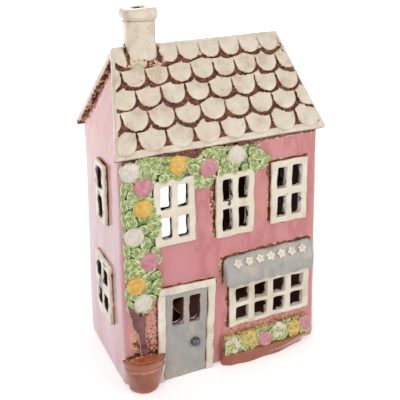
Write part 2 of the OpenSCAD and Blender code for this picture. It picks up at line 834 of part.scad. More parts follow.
module tealight_wick()
    color("white") translate([0, 0, floor_t + cup_t + tab_t])
        cylinder(h = wax_h - tab_t + wick_out, r = wick_r);

floor_slab();
front_wall();
back_wall();
left_wall();
right_wall();
left_gable();
right_gable();
front_roof();
back_roof();
course(0, 0);  // front_course_1
course(0, 1);  // front_course_2
course(0, 2);  // front_course_3
course(0, 3);  // front_course_4
course(0, 4);  // front_course_5
course(180, 0);  // back_course_1
course(180, 1);  // back_course_2
course(180, 2);  // back_course_3
course(180, 3);  // back_course_4
course(180, 4);  // back_course_5
chimney_stack();
chimney_collar();
upper_window_left();
upper_window_middle();
upper_window_right();
shop_window();
left_window_upper();
left_window_lower();
right_window_upper();
right_window_lower();
door();
door_jambs();
door_head();
door_knob();
awning();
awning_valance();
awning_blossoms();
rose_mat();
rose_leaves();
roses_white();
roses_pink();
roses_yellow();
rose_stem();
pot();
pot_rim();
pot_soil();
window_box();
box_foliage();
box_flowers_white();
box_flowers_yellow();
box_flowers_pink();
box_flower_eyes();
tealight_cup();
tealight_wax();
tealight_tab();
tealight_wick();
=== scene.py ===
"""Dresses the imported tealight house: glazed walls, tiled roof, windows, climbing rose and a tealight.

Shapes are made in millimetres, and piece() turns them into the frame's metres. Materials and lamps are in
metres.
"""

import math
from contextlib import contextmanager

import bmesh
import bpy
import numpy as np
from bpy.props import FloatProperty, FloatVectorProperty, IntProperty, PointerProperty
from bpy.types import Operator, Panel, PropertyGroup
from mathutils import Matrix, Vector, noise
from mathutils.bvhtree import BVHTree
from mathutils.kdtree import KDTree


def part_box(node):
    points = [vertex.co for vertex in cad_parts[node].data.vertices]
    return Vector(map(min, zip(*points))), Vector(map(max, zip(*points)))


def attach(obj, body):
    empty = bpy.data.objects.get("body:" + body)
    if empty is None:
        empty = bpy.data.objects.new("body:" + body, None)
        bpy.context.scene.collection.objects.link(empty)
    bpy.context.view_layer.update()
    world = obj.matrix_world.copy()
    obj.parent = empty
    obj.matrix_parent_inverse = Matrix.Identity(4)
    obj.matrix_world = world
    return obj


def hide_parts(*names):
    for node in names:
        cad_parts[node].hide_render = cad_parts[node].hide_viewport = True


bl_info = {
    "name": "Ceramic flower shop tealight house",
    "version": (1, 0, 0),
    "blender": (4, 5, 0),
    "location": "View3D > Sidebar > Tealight house",
    "description": "Builds the looks of a hand-built ceramic house round its packed solids",
    "category": "Object",
}

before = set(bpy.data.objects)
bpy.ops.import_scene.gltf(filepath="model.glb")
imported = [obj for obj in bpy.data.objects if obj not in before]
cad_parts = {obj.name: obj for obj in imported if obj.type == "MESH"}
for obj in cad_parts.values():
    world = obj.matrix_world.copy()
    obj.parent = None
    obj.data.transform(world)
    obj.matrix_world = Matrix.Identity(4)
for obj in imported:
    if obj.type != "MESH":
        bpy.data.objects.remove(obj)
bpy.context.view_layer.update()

MM = 0.001
HOUSE, TEALIGHT = "house", "tealight"

# noise_vector's offsets come from this; without it they follow the clock
NOISE_SEED = 4

# The house's outlines, in millimetres, as its source gives them
HOUSE_W, HOUSE_D, EAVE_Z, RIDGE_Z = 130.0, 76.8, 145.6, 196.7
SIDE_IN, FRONT_IN, EAVE_OUT, VERGE_OUT, RIDGE_IN = 3.3, 3.2, 3.1, 3.5, 13.2
FRONT_HALF, SIDE_HALF = HOUSE_D / 2, HOUSE_W / 2
FRONT_LEAN, SIDE_LEAN = math.atan(FRONT_IN / EAVE_Z), math.atan(SIDE_IN / EAVE_Z)
EAVE_HALF = FRONT_HALF - FRONT_IN + EAVE_OUT
ROOF_HALF = SIDE_HALF - SIDE_IN + VERGE_OUT
PITCH = math.atan((RIDGE_Z - EAVE_Z) / EAVE_HALF)
SLOPE_L = math.hypot(EAVE_HALF, RIDGE_Z - EAVE_Z)
STACK_X, STACK_W, STACK_D = -35.62, 17.0, 13.0

# Size of the even faces that a form is remeshed to: the roof, larger pieces, smaller pieces and the knob
ROOF_FACES, FACES, SMALL_FACES, KNOB_FACES = 0.9, 0.6, 0.5, 0.22

# The front's upper windows, the shop window, the awning and the side windows: left, bottom, right and top in the
# wall's own plane
WINDOW_RECTS = [(-44.6, 89.8, -20.0, 129.4), (-7.0, 87.4, 17.6, 127.0), (29.1, 88.7, 53.7, 128.3)]
SHOP_RECT = (1.3, 25.0, 57.9, 54.0)
AWNING_RECT = (-2.2, 57.0, 58.8, 74.0)
SIDE_RECTS = [(-5.5, 95.8, 11.5, 132.8), (-11.4, 31.8, 15.6, 71.2)]
# The door's plane, its width and height, the width of the strips round it and the foot of its panes
DOOR_X, DOOR_TILT, DOOR_W, DOOR_H, JAMB, PANE_FOOT = -28.7, math.radians(2.7), 27.2, 58.0, 4.6, 36.0
DOOR_HALF = DOOR_W / 2 + JAMB
DOOR_PANES = [(-8.8, PANE_FOOT, -1.9, 54), (1.9, PANE_FOOT, 8.8, 54)]


def wall_matrix(turn, half, lean):
    """From a wall's own plane, x to the right, y up it and z out of it, to the house."""
    return (
        Matrix.Rotation(math.radians(turn), 4, "Z")
        @ Matrix.Translation((0, -half, 0))
        @ Matrix.Rotation(math.pi / 2 - lean, 4, "X")
    )


def slope_matrix(turn):
    """From a roof slope's plane, x along the eaves, y up the slope and z out of it, to the house."""
    return (
        Matrix.Rotation(math.radians(turn), 4, "Z")
        @ Matrix.Translation((0, -EAVE_HALF, EAVE_Z))
        @ Matrix.Rotation(PITCH, 4, "X")
    )


FRONT = wall_matrix(0, FRONT_HALF, FRONT_LEAN)
BACK = wall_matrix(180, FRONT_HALF, FRONT_LEAN)
LEFT = wall_matrix(270, SIDE_HALF, SIDE_LEAN)
RIGHT = wall_matrix(90, SIDE_HALF, SIDE_LEAN)
AT_DOOR = FRONT @ Matrix.Translation((DOOR_X, 0, 0)) @ Matrix.Rotation(-DOOR_TILT, 4, "Z")
SLOPES = slope_matrix(0), slope_matrix(180)


def linear(r, g, b):
    """A colour given from 0 to 255 as on a screen, as the linear one that Blender takes."""
    shares = (r / 255, g / 255, b / 255)
    return tuple(c / 12.92 if c <= 0.04045 else ((c + 0.055) / 1.055) ** 2.4 for c in shares)


def shades(*colours):
    return [linear(*colour) for colour in colours]


def smoothstep(a):
    a = np.clip(a, 0.0, 1.0)
    return a * a * (3 - 2 * a)


def rises(value, start, over):
    """0 up to a start, 1 from a width above it, and smooth between them."""
    return smoothstep((value - start) / over)


def falls(value, end, over):
    """1 up to a width below an end, 0 from the end on, and smooth between them."""
    return smoothstep((end - value) / over)


def near(distance, width):
    """1 at no distance, 0 from a width on, and smooth between them."""
    return smoothstep(1 - distance / width)


# ---- meshes ----


def coordinates(mesh):
    co = np.zeros(len(mesh.vertices) * 3)
    mesh.vertices.foreach_get("co", co)
    return co.reshape(-1, 3)


def put_coordinates(mesh, co):
    mesh.vertices.foreach_set("co", np.ascontiguousarray(co, dtype=np.float32).ravel())
    mesh.update()


def normals(mesh):
    no = np.zeros(len(mesh.vertices) * 3)
    mesh.vertex_normals.foreach_get("vector", no)
    return no.reshape(-1, 3)


def transformed(co, matrix):
    m = np.array(matrix)
    return co @ m[:3, :3].T + m[:3, 3]


def laid_flat(co, matrix):
    """The house's points as a wall's or slope's own plane has them."""
    return transformed(co, matrix.inverted())


def put_attribute(mesh, name, values):
    """Stores one number for each vertex, which a material reads by its name."""
    layer = mesh.attributes.get(name) or mesh.attributes.new(name, "FLOAT", "POINT")
    layer.data.foreach_set("value", np.ascontiguousarray(values, dtype=np.float32))


def get_attribute(mesh, name):
    values = np.zeros(len(mesh.vertices), dtype=np.float32)
    layer = mesh.attributes.get(name)
    if layer:
        layer.data.foreach_get("value", values)
    return values


def noise_at(points, size):
    """Plain noise at each point, with swells of about a size."""
    return np.array([noise.noise(Vector(p) / size) for p in points])


@contextmanager
def opened(mesh):
    """The mesh as a bmesh to edit, which is written back at the end."""
    bm = bmesh.new()
    bm.from_mesh(mesh)
    yield bm
    bm.to_mesh(mesh)
    bm.free()


def mesh_of(name, points, faces):
    """A mesh with its faces turned outwards."""
    mesh = bpy.data.meshes.new(name)
    mesh.from_pydata([tuple(p) for p in points], [], faces)
    with opened(mesh) as bm:
        bmesh.ops.recalc_face_normals(bm, faces=bm.faces)
    return mesh


def welded(mesh, distance):
    """Makes one of any points that lie closer than a distance."""
    with opened(mesh) as bm:
        bmesh.ops.remove_doubles(bm, verts=bm.verts, dist=distance)
        bmesh.ops.recalc_face_normals(bm, faces=bm.faces)
    return mesh


def joined(meshes):
    bm = bmesh.new()
    for mesh in meshes:
        bm.from_mesh(mesh)
    out = bpy.data.meshes.new("joined")
    bm.to_mesh(out)
    bm.free()
    return out


def cad_mesh(*nodes):
    """A merged copy of CAD nodes, in millimetres."""
    mesh = joined([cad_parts[node].data for node in nodes])
    with opened(mesh) as bm:
        bmesh.ops.scale(bm, vec=(1 / MM,) * 3, verts=bm.verts)
        bmesh.ops.remove_doubles(bm, verts=bm.verts, dist=0.002)
    for name in [a.name for a in mesh.attributes if a.name.startswith("custom") or a.name == "sharp_edge"]:
        mesh.attributes.remove(mesh.attributes[name])
    return mesh


def cut_off(mesh, point, normal):
    """Cuts away what lies beyond a plane and closes the cut."""
    with opened(mesh) as bm:
        cut = bmesh.ops.bisect_plane(bm, geom=bm.verts[:] + bm.edges[:] + bm.faces[:], dist=1e-4, plane_co=point,
                                     plane_no=normal, clear_outer=True)
        edges = [e for e in cut["geom_cut"] if isinstance(e, bmesh.types.BMEdge)]
        if edges:
            bmesh.ops.holes_fill(bm, edges=edges, sides=0)


def face_part(node, matrix, least=0.9):
    """The part of a CAD node that faces out of a wall, laid flat in that wall's plane."""
    mesh = cad_mesh(node)
    mesh.transform(matrix.inverted())
    with opened(mesh) as bm:
        bm.normal_update()
        bmesh.ops.delete(bm, geom=[f for f in bm.faces if f.normal.z < least], context="FACES")
        bmesh.ops.triangulate(bm, faces=bm.faces)
    return mesh


def evaluated(mesh, modify):
    """The mesh that an object has after modify has put its modifiers on it."""
    obj = bpy.data.objects.new("work", mesh)
    bpy.context.scene.collection.objects.link(obj)
    modify(obj)
    bpy.context.view_layer.update()
    result = bpy.data.meshes.new_from_object(obj.evaluated_get(bpy.context.evaluated_depsgraph_get()))
    obj.modifiers.clear()
    bpy.data.objects.remove(obj)
    return result


def softened(mesh, voxel, rounds):
    """Remeshes a closed form to even faces and rounds off its edges, as clay smoothed by hand."""

    def modify(obj):
        remesh = obj.modifiers.new("Even faces", "REMESH")
        remesh.mode = "VOXEL"
        remesh.voxel_size = voxel
        smooth = obj.modifiers.new("Rounded", "SMOOTH")
        smooth.factor = 0.5
        smooth.iterations = rounds

    return evaluated(mesh, modify)


# How far apart in the noise two seeds that follow each other are read
SEED_STEP = (17.3, 5.1, -9.7)


def wobbled(mesh, amount, size, seed):
    """Moves every point a little, as the hand does: never more than about amount."""
    co = coordinates(mesh)
    amount *= bpy.context.scene.house_clay.wobble
    shift = Vector([seed * step for step in SEED_STEP])
    moved = np.array([noise.noise_vector(Vector(p) / size + shift) for p in co])
    put_coordinates(mesh, co + amount * moved)
    return mesh


def roughened(mesh, amount, size, where=1.0):
    """Raises and sinks the surface along its normals."""
    co, no = coordinates(mesh), normals(mesh)
    lift = where * np.array([noise.fractal(Vector(p) / size, 0.7, 2.0, 3) for p in co])
    put_coordinates(mesh, co + no * (amount * lift)[:, None])


def clay_copy(node, rounds, grain, wobble, size, seed):
    """A CAD node's own form, with its edges rounded and its lines a little astray."""
    grain *= bpy.context.scene.house_clay.fine_grain
    return wobbled(softened(cad_mesh(node), grain, rounds), wobble, size, seed)


# From this much of the inside attribute on, a face takes the dark clay that paints the shade inside
SHADE_FROM = 0.8


def piece(name, mesh, finish, replaced, body=HOUSE, shaded_inside=False):
    """Links a finished mesh as a piece that rides on a body. When asked, the faces marked inside take a dark clay
    as painted shade.
    """
    co = coordinates(mesh)
    co[:, 2] = np.maximum(co[:, 2], 0.0)
    put_coordinates(mesh, co)
    mesh.transform(Matrix.Scale(MM, 4))
    mesh.name = name
    obj = bpy.data.objects.new(name, mesh)
    bpy.context.scene.collection.objects.link(obj)
    mesh.polygons.foreach_set("use_smooth", [True] * len(mesh.polygons))
    mesh.materials.clear()
    mesh.materials.append(finish_of(finish))
    if shaded_inside:
        mesh.materials.append(finish_of("inside_shade"))
        inside = get_attribute(mesh, "inside") > SHADE_FROM
        shaded_faces = [int(all(inside[v] for v in face.vertices)) for face in mesh.polygons]
        mesh.polygons.foreach_set("material_index", shaded_faces)
    mesh.update()
    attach(obj, body)
    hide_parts(*replaced)


# ---- forms made by rule ----


def grid_faces(rows, n, closed=False):
    """The faces between rows of n points each; closed rows run round."""
    return [(j * n + i, j * n + (i + 1) % n, (j + 1) * n + (i + 1) % n, (j + 1) * n + i)
            for j in range(rows) for i in range(n if closed else n - 1)]


def grid_rim(rows, n):
    """The points round the edge of such rows, in order."""
    right = [j * n + n - 1 for j in range(1, rows + 1)]
    far = [rows * n + i for i in range(n - 2, -1, -1)]
    left = [j * n for j in range(rows - 1, 0, -1)]
    return [*range(n), *right, *far, *left]


def skirt_faces(rim, low):
    """The faces from a rim down to as many points, numbered from low, and the one that closes them."""
    n = len(rim)
    sides = [(rim[i], rim[(i + 1) % n], low + (i + 1) % n, low + i) for i in range(n)]
    return [*sides, tuple(range(low, low + n))]


def ring_mesh(name, profile, segments, ripple=None):
    """Turns a closed profile of (radius, height) points round the upright axis."""
    points, faces = [], []
    n = len(profile)
    for j in range(segments):
        angle = 2 * math.pi * j / segments
        following = (j + 1) % segments
        for i, (r, z) in enumerate(profile):
            reach = r + (ripple(i, angle) if ripple else 0.0)
            points.append((reach * math.cos(angle), reach * math.sin(angle), z))
        faces += [(j * n + i, following * n + i, following * n + i + 1, j * n + i + 1) for i in range(n - 1)]
    return welded(mesh_of(name, points, faces), 0.001)


def spline(profile, steps):
    """Fills a coarse profile with points of a smooth curve through it."""
    pts = [np.array(p, float) for p in profile]
    pts = [pts[0]] + pts + [pts[-1]]
    out = []
    for a, b, c, d in zip(pts, pts[1:], pts[2:], pts[3:]):
        for s in range(steps):
            t = s / steps
            out.append(tuple(0.5 * (
                (2 * b) + (c - a) * t + (2 * a - 5 * b + 4 * c - d) * t * t + (3 * b - a - 3 * c + d) * t**3)))
    out.append(tuple(pts[-1]))
    return out


# ---- node trees ----


class Tree:
    """A node tree in the making: add() places a node, sets its options and sets or joins its sockets."""

    def __init__(self, tree):
        self.tree = tree

    def add(self, kind, inputs=None, **options):
        node = self.tree.nodes.new(kind)
        for key, value in options.items():
            setattr(node, key, value)
        for key, value in (inputs or {}).items():
            socket = node.inputs[key]
            if isinstance(value, bpy.types.NodeSocket):
                self.tree.links.new(value, socket)
            else:
                socket.default_value = value
        return node

    def math(self, operation, a, b=0.0, c=0.0):
        return self.add("ShaderNodeMath", {0: a, 1: b, 2: c}, operation=operation).outputs[0]

    def noise(self, vector, size, detail=2.0, roughness=0.5, stretch=None):
        if stretch:
            vector = self.add("ShaderNodeVectorMath", {0: vector, 1: stretch}, operation="MULTIPLY").outputs[0]
        return self.add("ShaderNodeTexNoise", {
            "Vector": vector, "Scale": 1 / size, "Detail": detail, "Roughness": roughness}).outputs["Fac"]

    def ramp(self, fac, stops, smooth=False):
        node = self.add("ShaderNodeValToRGB", {"Fac": fac})
        node.color_ramp.interpolation = "EASE" if smooth else "LINEAR"
        elements = node.color_ramp.elements
        while len(elements) < len(stops):
            elements.new(0.5)
        for element, (place, colour) in zip(elements, stops):
            element.position = place
            element.color = (*colour, 1.0)
        return node.outputs["Color"]

    def level(self, fac, low, high):
        """0 below low, 1 above high, and smooth between them."""
        return self.add("ShaderNodeMapRange", {"Value": fac, "From Min": low, "From Max": high},
                        interpolation_type="SMOOTHSTEP").outputs["Result"]

    def mix(self, fac, a, b):
        """b over a. A colour given as three numbers is opaque."""
        if isinstance(b, tuple):
            b = (*b, 1.0)
        return self.add("ShaderNodeMix", {0: fac, 6: a, 7: b}, data_type="RGBA").outputs[2]

    def marked(self, name):
        """The value that each vertex carries under a name."""
        return self.add("ShaderNodeAttribute", attribute_name=name).outputs["Fac"]

    def seen_directly(self):
        """1 for rays that reach the eye straight, by a reflection or through something clear."""
        path = self.add("ShaderNodeLightPath")
        direct = self.math("MAXIMUM", path.outputs["Is Camera Ray"], path.outputs["Is Transmission Ray"])
        return self.math("MAXIMUM", direct, path.outputs["Is Glossy Ray"])

    def random(self, kind, low, high, seed):
        """A number or a vector by chance for every copy."""
        first = 0 if kind == "FLOAT_VECTOR" else 2
        node = self.add("FunctionNodeRandomValue", {first: low, first + 1: high, "Seed": seed}, data_type=kind)
        return node.outputs[first // 2]

    def copies(self, points, given, **how):
        """The shape that the tree is given, set on points."""
        shape = self.add("GeometryNodeObjectInfo", {"Object": given["Shape"]}).outputs["Geometry"]
        return self.add("GeometryNodeInstanceOnPoints", {"Points": points, "Instance": shape, **how}).outputs[0]


# How large the patterns of the glazes are, in metres
FINE, SPECKS, GRAIN, STREAKS, FLECKS, FLECK_CLOUDS = 0.0011, 0.0015, 0.0034, 0.0021, 0.0028, 0.004
SKIN_DEPTH = 0.0006
GLEAM, FLECK, BLUSH, PALE = shades((244, 234, 244), (120, 84, 60), (204, 148, 96), (240, 214, 196))


def glaze(name, tones, patch, rust=None, shade_colour=None, fleck=0.0, streak=None, gloss=0.2, coat=0.6, bump=0.3,
          bump_size=0.0035, metallic=0.0, accent=None, shine=0.4):
    """A ceramic glaze: tones that drift over the surface, rust where it breaks or pools, flecks and a soft skin.

    tones are the glaze's colours, rust its two iron colours, the colour after them is painted as shade where the
    inside attribute marks recesses, a house's inside and the gaps between leaves, and accent the colour of a
    piece's raised or painted parts, which on some pieces paints light.
    """
    material = bpy.data.materials.new(name)
    material.use_nodes = True
    t = Tree(material.node_tree)
    t.tree.nodes.clear()
    where = t.add("ShaderNodeTexCoord").outputs["Object"]
    drift = t.noise(where, patch, 4.0, 0.6, streak)
    places = [0.32 + 0.36 * i / (len(tones) - 1) for i in range(len(tones))]
    colour = t.ramp(drift, list(zip(places, tones)), True)
    fine = t.noise(where, FINE, 3.0, 0.65)
    skin_coat = coat
    if accent:
        mask = t.marked("accent")
        edge = t.math("MULTIPLY_ADD", fine, 0.5, t.math("SUBTRACT", mask, 0.25))
        bright = [a + 0.3 * (b - a) for a, b in zip(accent, GLEAM)]
        raised = t.ramp(drift, [(0.38, accent), (0.62, bright)], True)
        colour = t.mix(t.level(edge, 0.25, 0.75), colour, raised)
    roughness = t.math("MULTIPLY_ADD", drift, 0.10, gloss - 0.05)
    height = t.noise(where, bump_size, 2.0)
    if fleck:
        spots = t.add("ShaderNodeTexVoronoi", {
            "Vector": where, "Scale": 1 / FLECKS, "Randomness": 1.0}).outputs["Distance"]
        clouds = t.level(spots, 0.20, 0.10), t.level(t.noise(where, FLECK_CLOUDS, 2.0), 0.52, 0.62)
        colour = t.mix(t.math("MULTIPLY", t.math("MULTIPLY", *clouds), fleck), colour, FLECK)
    if rust:
        worn = t.marked("rust")
        specks = t.noise(where, SPECKS, 2.0, 0.5)
        grain = t.math("MULTIPLY_ADD", t.noise(where, GRAIN, 2.0, 0.5), 0.4, t.math("MULTIPLY", specks, 0.6))
        broken = t.math("ADD", t.math("MULTIPLY", worn, 1.15), t.math("MULTIPLY", grain, 1.3))
        colour = t.mix(t.math("MULTIPLY", t.level(broken, 0.82, 1.16), 0.45), colour, BLUSH)
        pale = t.math("MULTIPLY", t.level(specks, 0.45, 0.38), t.level(worn, 0.22, 0.36))
        colour = t.mix(t.math("MULTIPLY", pale, 0.35), colour, PALE)
        solid = t.level(broken, 1.15, 1.25)
        light, deep = rust
        middle = [(a + 2 * b) / 3 for a, b in zip(light, deep)]
        iron = t.ramp(t.noise(where, STREAKS, 3.0, 0.7), [(0.43, deep), (0.54, middle), (0.68, light)])
        colour = t.mix(solid, colour, iron)
        skin_coat = t.math("MULTIPLY", t.math("MULTIPLY_ADD", solid, -0.8, 1.0), coat)
        roughness = t.math("MULTIPLY_ADD", solid, 0.22, roughness)
        height = t.math("SUBTRACT", height, t.math("MULTIPLY", solid, t.math("MULTIPLY", fine, 1.4)))
    # Painted shade: where the inside attribute marks recesses, a house's inside and the gaps between leaves, the
    # colour darkens
    if shade_colour:
        dark = t.marked("inside")
        colour = t.mix(t.level(t.math("MULTIPLY_ADD", fine, 0.3, dark), 0.35, 0.85), colour, shade_colour)
    skin = t.add("ShaderNodeBump", {
        "Strength": bump, "Distance": SKIN_DEPTH, "Height": height}).outputs["Normal"]
    shader = t.add("ShaderNodeBsdfPrincipled", {
        "Base Color": colour, "Roughness": roughness, "Normal": skin, "Metallic": metallic,
        "Coat Weight": skin_coat, "Coat Roughness": 0.08, "IOR": 1.5, "Specular IOR Level": shine,
    })
    t.add("ShaderNodeOutputMaterial", {"Surface": shader.outputs["BSDF"]})
    return material


def new_group(name, sockets):
    """A Geometry Nodes tree with named inputs, what they give, and the identifier of each."""
    group = bpy.data.node_groups.new(name, "GeometryNodeTree")
    group.interface.new_socket("Geometry", in_out="INPUT", socket_type="NodeSocketGeometry")
    keys = {}
    for label, kind in {**sockets, "Seed": "Int", "Material": "Material"}.items():
        socket = group.interface.new_socket(label, in_out="INPUT", socket_type="NodeSocket" + kind)
        keys[label] = socket.identifier
    group.interface.new_socket("Geometry", in_out="OUTPUT", socket_type="NodeSocketGeometry")
    t = Tree(group)
    return t, t.add("NodeGroupInput").outputs, keys


def close_group(t, geometry, given):
    """Ends a tree as every one here ends: instances made real and given their material."""
    real = t.add("GeometryNodeRealizeInstances", {0: geometry}).outputs[0]
    shown = t.add("GeometryNodeSetMaterial", {"Geometry": real, "Material": given["Material"]}).outputs[0]
    t.add("NodeGroupOutput", {0: shown})


def row_group():
    """Sets a number of copies in a row, each turned and stretched a little by chance."""
    t, given, keys = new_group("Row of copies", {
        "Shape": "Object", "Count": "Int", "First": "Vector", "Step": "Vector", "Turn": "Vector",
        "Least size": "Vector", "Most size": "Vector"})
    line = t.add("GeometryNodeMeshLine", {
        "Count": given["Count"], "Start Location": given["First"], "Offset": given["Step"]}, mode="OFFSET")
    against = t.add("ShaderNodeVectorMath", {0: given["Turn"], 3: -1.0}, operation="SCALE").outputs[0]
    turn = t.random("FLOAT_VECTOR", against, given["Turn"], given["Seed"])
    other = t.math("ADD", given["Seed"], 1.0)
    size = t.random("FLOAT_VECTOR", given["Least size"], given["Most size"], other)
    close_group(t, t.copies(line.outputs[0], given, Rotation=turn, Scale=size), given)
    return t.tree, keys


def scatter_group():
    """Spreads copies over a surface, no closer than a given distance, each with its own turn and size."""
    t, given, keys = new_group("Scattered copies", {
        "Shape": "Object", "Apart": "Float", "Per area": "Float", "Tilt": "Float", "Least size": "Float",
        "Most size": "Float"})
    points = t.add("GeometryNodeDistributePointsOnFaces", {
        "Mesh": given["Geometry"], "Distance Min": given["Apart"], "Density Max": given["Per area"],
        "Seed": given["Seed"]}, distribute_method="POISSON")
    back = t.math("MULTIPLY", given["Tilt"], -1.0)
    low = t.add("ShaderNodeCombineXYZ", {0: back, 1: back, 2: -math.pi}).outputs[0]
    high = t.add("ShaderNodeCombineXYZ", {0: given["Tilt"], 1: given["Tilt"], 2: math.pi}).outputs[0]
    turn = t.random("FLOAT_VECTOR", low, high, given["Seed"])
    size = t.random("FLOAT", given["Least size"], given["Most size"], given["Seed"])
    close_group(t, t.copies(points.outputs["Points"], given, Rotation=turn, Scale=size), given)
    return t.tree, keys


def ring_group():
    """Sets petals in a ring round the centre of every point of a mesh."""
    t, given, keys = new_group("Petals round points", {
        "Shape": "Object", "Count": "Int", "Out": "Float", "Turn": "Float"})
    circle = t.add("GeometryNodeMeshCircle", {"Vertices": given["Count"], "Radius": given["Out"]})
    place = t.add("GeometryNodeInputPosition").outputs[0]
    heading = t.add("FunctionNodeAlignRotationToVector", {"Vector": place}, axis="Y").outputs[0]
    petals = t.copies(circle.outputs[0], given, Rotation=heading)
    low = t.add("ShaderNodeCombineXYZ", {2: t.math("MULTIPLY", given["Turn"], -1.0)}).outputs[0]
    high = t.add("ShaderNodeCombineXYZ", {2: given["Turn"]}).outputs[0]
    turn = t.random("FLOAT_VECTOR", low, high, given["Seed"])
    points = t.add("GeometryNodeMeshToPoints", {"Mesh": given["Geometry"]}).outputs[0]
    flowers = t.add("GeometryNodeInstanceOnPoints", {"Points": points, "Instance": petals, "Rotation": turn})
    close_group(t, flowers.outputs[0], given)
    return t.tree, keys


GROUPS = {}


def grown(kind, base, shape, finish, **values):
    """Runs one of the trees on a base mesh with a shape to repeat, and returns the plain mesh that it makes."""
    if kind not in GROUPS:
        GROUPS[kind] = {"row": row_group, "scatter": scatter_group, "ring": ring_group}[kind]()
    tree, keys = GROUPS[kind]
    material = finish_of(finish)
    pattern = bpy.data.objects.new("pattern", shape)
    bpy.context.scene.collection.objects.link(pattern)

    def modify(obj):
        modifier = obj.modifiers.new("Grown", "NODES")
        modifier.node_group = tree
        modifier[keys["Shape"]] = pattern
        modifier[keys["Material"]] = material
        for label, value in values.items():
            modifier[keys[label.replace("_", " ")]] = value

    mesh = evaluated(base, modify)
    bpy.data.objects.remove(pattern)
    return mesh


def points_mesh(*points):
    mesh = bpy.data.meshes.new("points")
    mesh.from_pydata(points, [], [])
    return mesh


# ---- finishes ----

IRON = shades((156, 80, 38), (62, 26, 15))
# The colour of the painted shade in recesses and on the house's inside
DARK = linear(58, 34, 28)


def make_finishes(given):
    """Every glaze of the house, and what the tealight is made of."""
    pink, deep, warm = tuple(given.pink), tuple(given.deep_pink), tuple(given.warm_pink)

    def rose(name, tones, accent):
        return glaze(name, shades(*tones), 0.003, IRON, accent=linear(*accent))

    return {
        # The walls' accent is the paler pink painted on the side walls as the sheen of light on them
        "wall": glaze(
            "Pink glaze", [warm, pink, deep, pink, linear(200, 130, 137)], 0.022,
            shades((172, 98, 54), (86, 42, 28)), DARK, 0.25, (1, 1, 0.35), gloss=0.14, bump_size=0.006,
            accent=tuple(given.pale_pink)),
        # The cream's peach accent lightens the verges' undersides: painted light where they lie in shade
        "cream": glaze(
            "Cream glaze", shades((196, 177, 153), (213, 199, 179), (222, 211, 194)), 0.009, IRON, DARK, 0.65,
            coat=0.5, bump=0.35, accent=linear(246, 206, 180)),
        "frames": glaze(
            "Ivory glaze", shades((206, 190, 168), (221, 209, 190), (230, 221, 206)), 0.012,
            shades((166, 92, 52), (92, 46, 30)), DARK, 0.35, coat=0.5),
        "grey": glaze(
            "Warm grey glaze", shades((147, 147, 147), (161, 157, 151), (180, 169, 154)), 0.006,
            shades((150, 96, 62), (80, 46, 32)), DARK, 0.45, (1, 1, 0.6), gloss=0.3, coat=0.4, bump=0.4),
        "leaf": glaze(
            "Leaf glaze", shades((132, 150, 74), (156, 170, 94), (180, 188, 116)), 0.006, IRON,
            linear(82, 118, 56), accent=linear(218, 216, 156)),
        # The terracotta's pale accent is a painted highlight: a line under the pot's rim and a band across the
        # trough
        "terracotta": glaze(
            "Terracotta glaze", shades((136, 64, 40), (152, 78, 52), (166, 92, 64)), 0.011, IRON, fleck=0.3,
            gloss=0.26, coat=0.45, accent=linear(212, 158, 134)),
        "soil": glaze(
            "Soil glaze", shades((140, 66, 36), (160, 80, 46), (176, 98, 62)), 0.004, IRON, gloss=0.24,
            coat=0.5),
        # The bark's pale accent on the trunk's sides is where the glaze breaks, and also a painted highlight
        "bark": glaze(
            "Bark glaze", shades((92, 52, 50), (110, 64, 62), (130, 84, 80)), 0.006, streak=(1, 1, 0.3),
            gloss=0.3, coat=0.3, bump=0.4, bump_size=0.0016, accent=linear(206, 158, 146)),
        "rose_white": rose(
            "White rose glaze", [(195, 183, 167), (209, 199, 184), (218, 210, 197)], (184, 164, 146)),
        "rose_pink": rose(
            "Pink rose glaze", [(176, 102, 114), (190, 120, 129), (201, 138, 144)], (156, 84, 100)),
        "rose_yellow": rose(
            "Yellow rose glaze", [(200, 144, 40), (212, 167, 56), (221, 187, 90)], (182, 112, 36)),
        "knob": glaze("Black glaze", shades((52, 52, 56), (70, 70, 74)), 0.003, gloss=0.1, coat=0.9, bump=0.2),
        "clay": glaze(
            "Bare clay", shades((84, 40, 28), (108, 54, 38), (124, 66, 46)), 0.006, fleck=0.4, gloss=0.75,
            coat=0.0, bump=0.6, bump_size=0.0015),
        # Dark clay that paints the shade on the inside of the walls, roof slabs and chimney
        "inside_shade": glaze(
            "Sooty clay", shades((70, 40, 32), (88, 50, 38), (104, 60, 46)), 0.008, gloss=0.85, coat=0.0,
            bump=0.5, bump_size=0.002),
        "tin": glaze(
            "Copper lacquer", shades((104, 62, 46), (126, 78, 58)), 0.004, streak=(1, 1, 0.1), gloss=0.5,
            coat=0.0, bump=0.2, bump_size=0.0008, metallic=1.0),
        # A real wax colour, chosen dark so that it paints the shade of the house's inside seen through the door's
        # panes
        "wax": glaze(
            "Cinnamon wax", shades((84, 36, 24), (104, 46, 30)), 0.006, gloss=0.7, coat=0.0, bump=0.15,
            shine=0.1),
        "wick": glaze(
            "Waxed cotton", shades((206, 196, 172), (228, 220, 200)), 0.0008, gloss=0.7, coat=0.0, bump=0.6,
            bump_size=0.0003),
    }


FINISHES = {}


def finish_of(name):
    if not FINISHES:
        FINISHES.update(make_finishes(bpy.context.scene.house_glazes))
    return FINISHES[name]


# ---- settings ----

COLOUR = {"subtype": "COLOR", "min": 0, "max": 1}
LENGTH = {"subtype": "DISTANCE", "unit": "LENGTH"}
POWER = {"subtype": "POWER", "unit": "POWER", "min": 0}


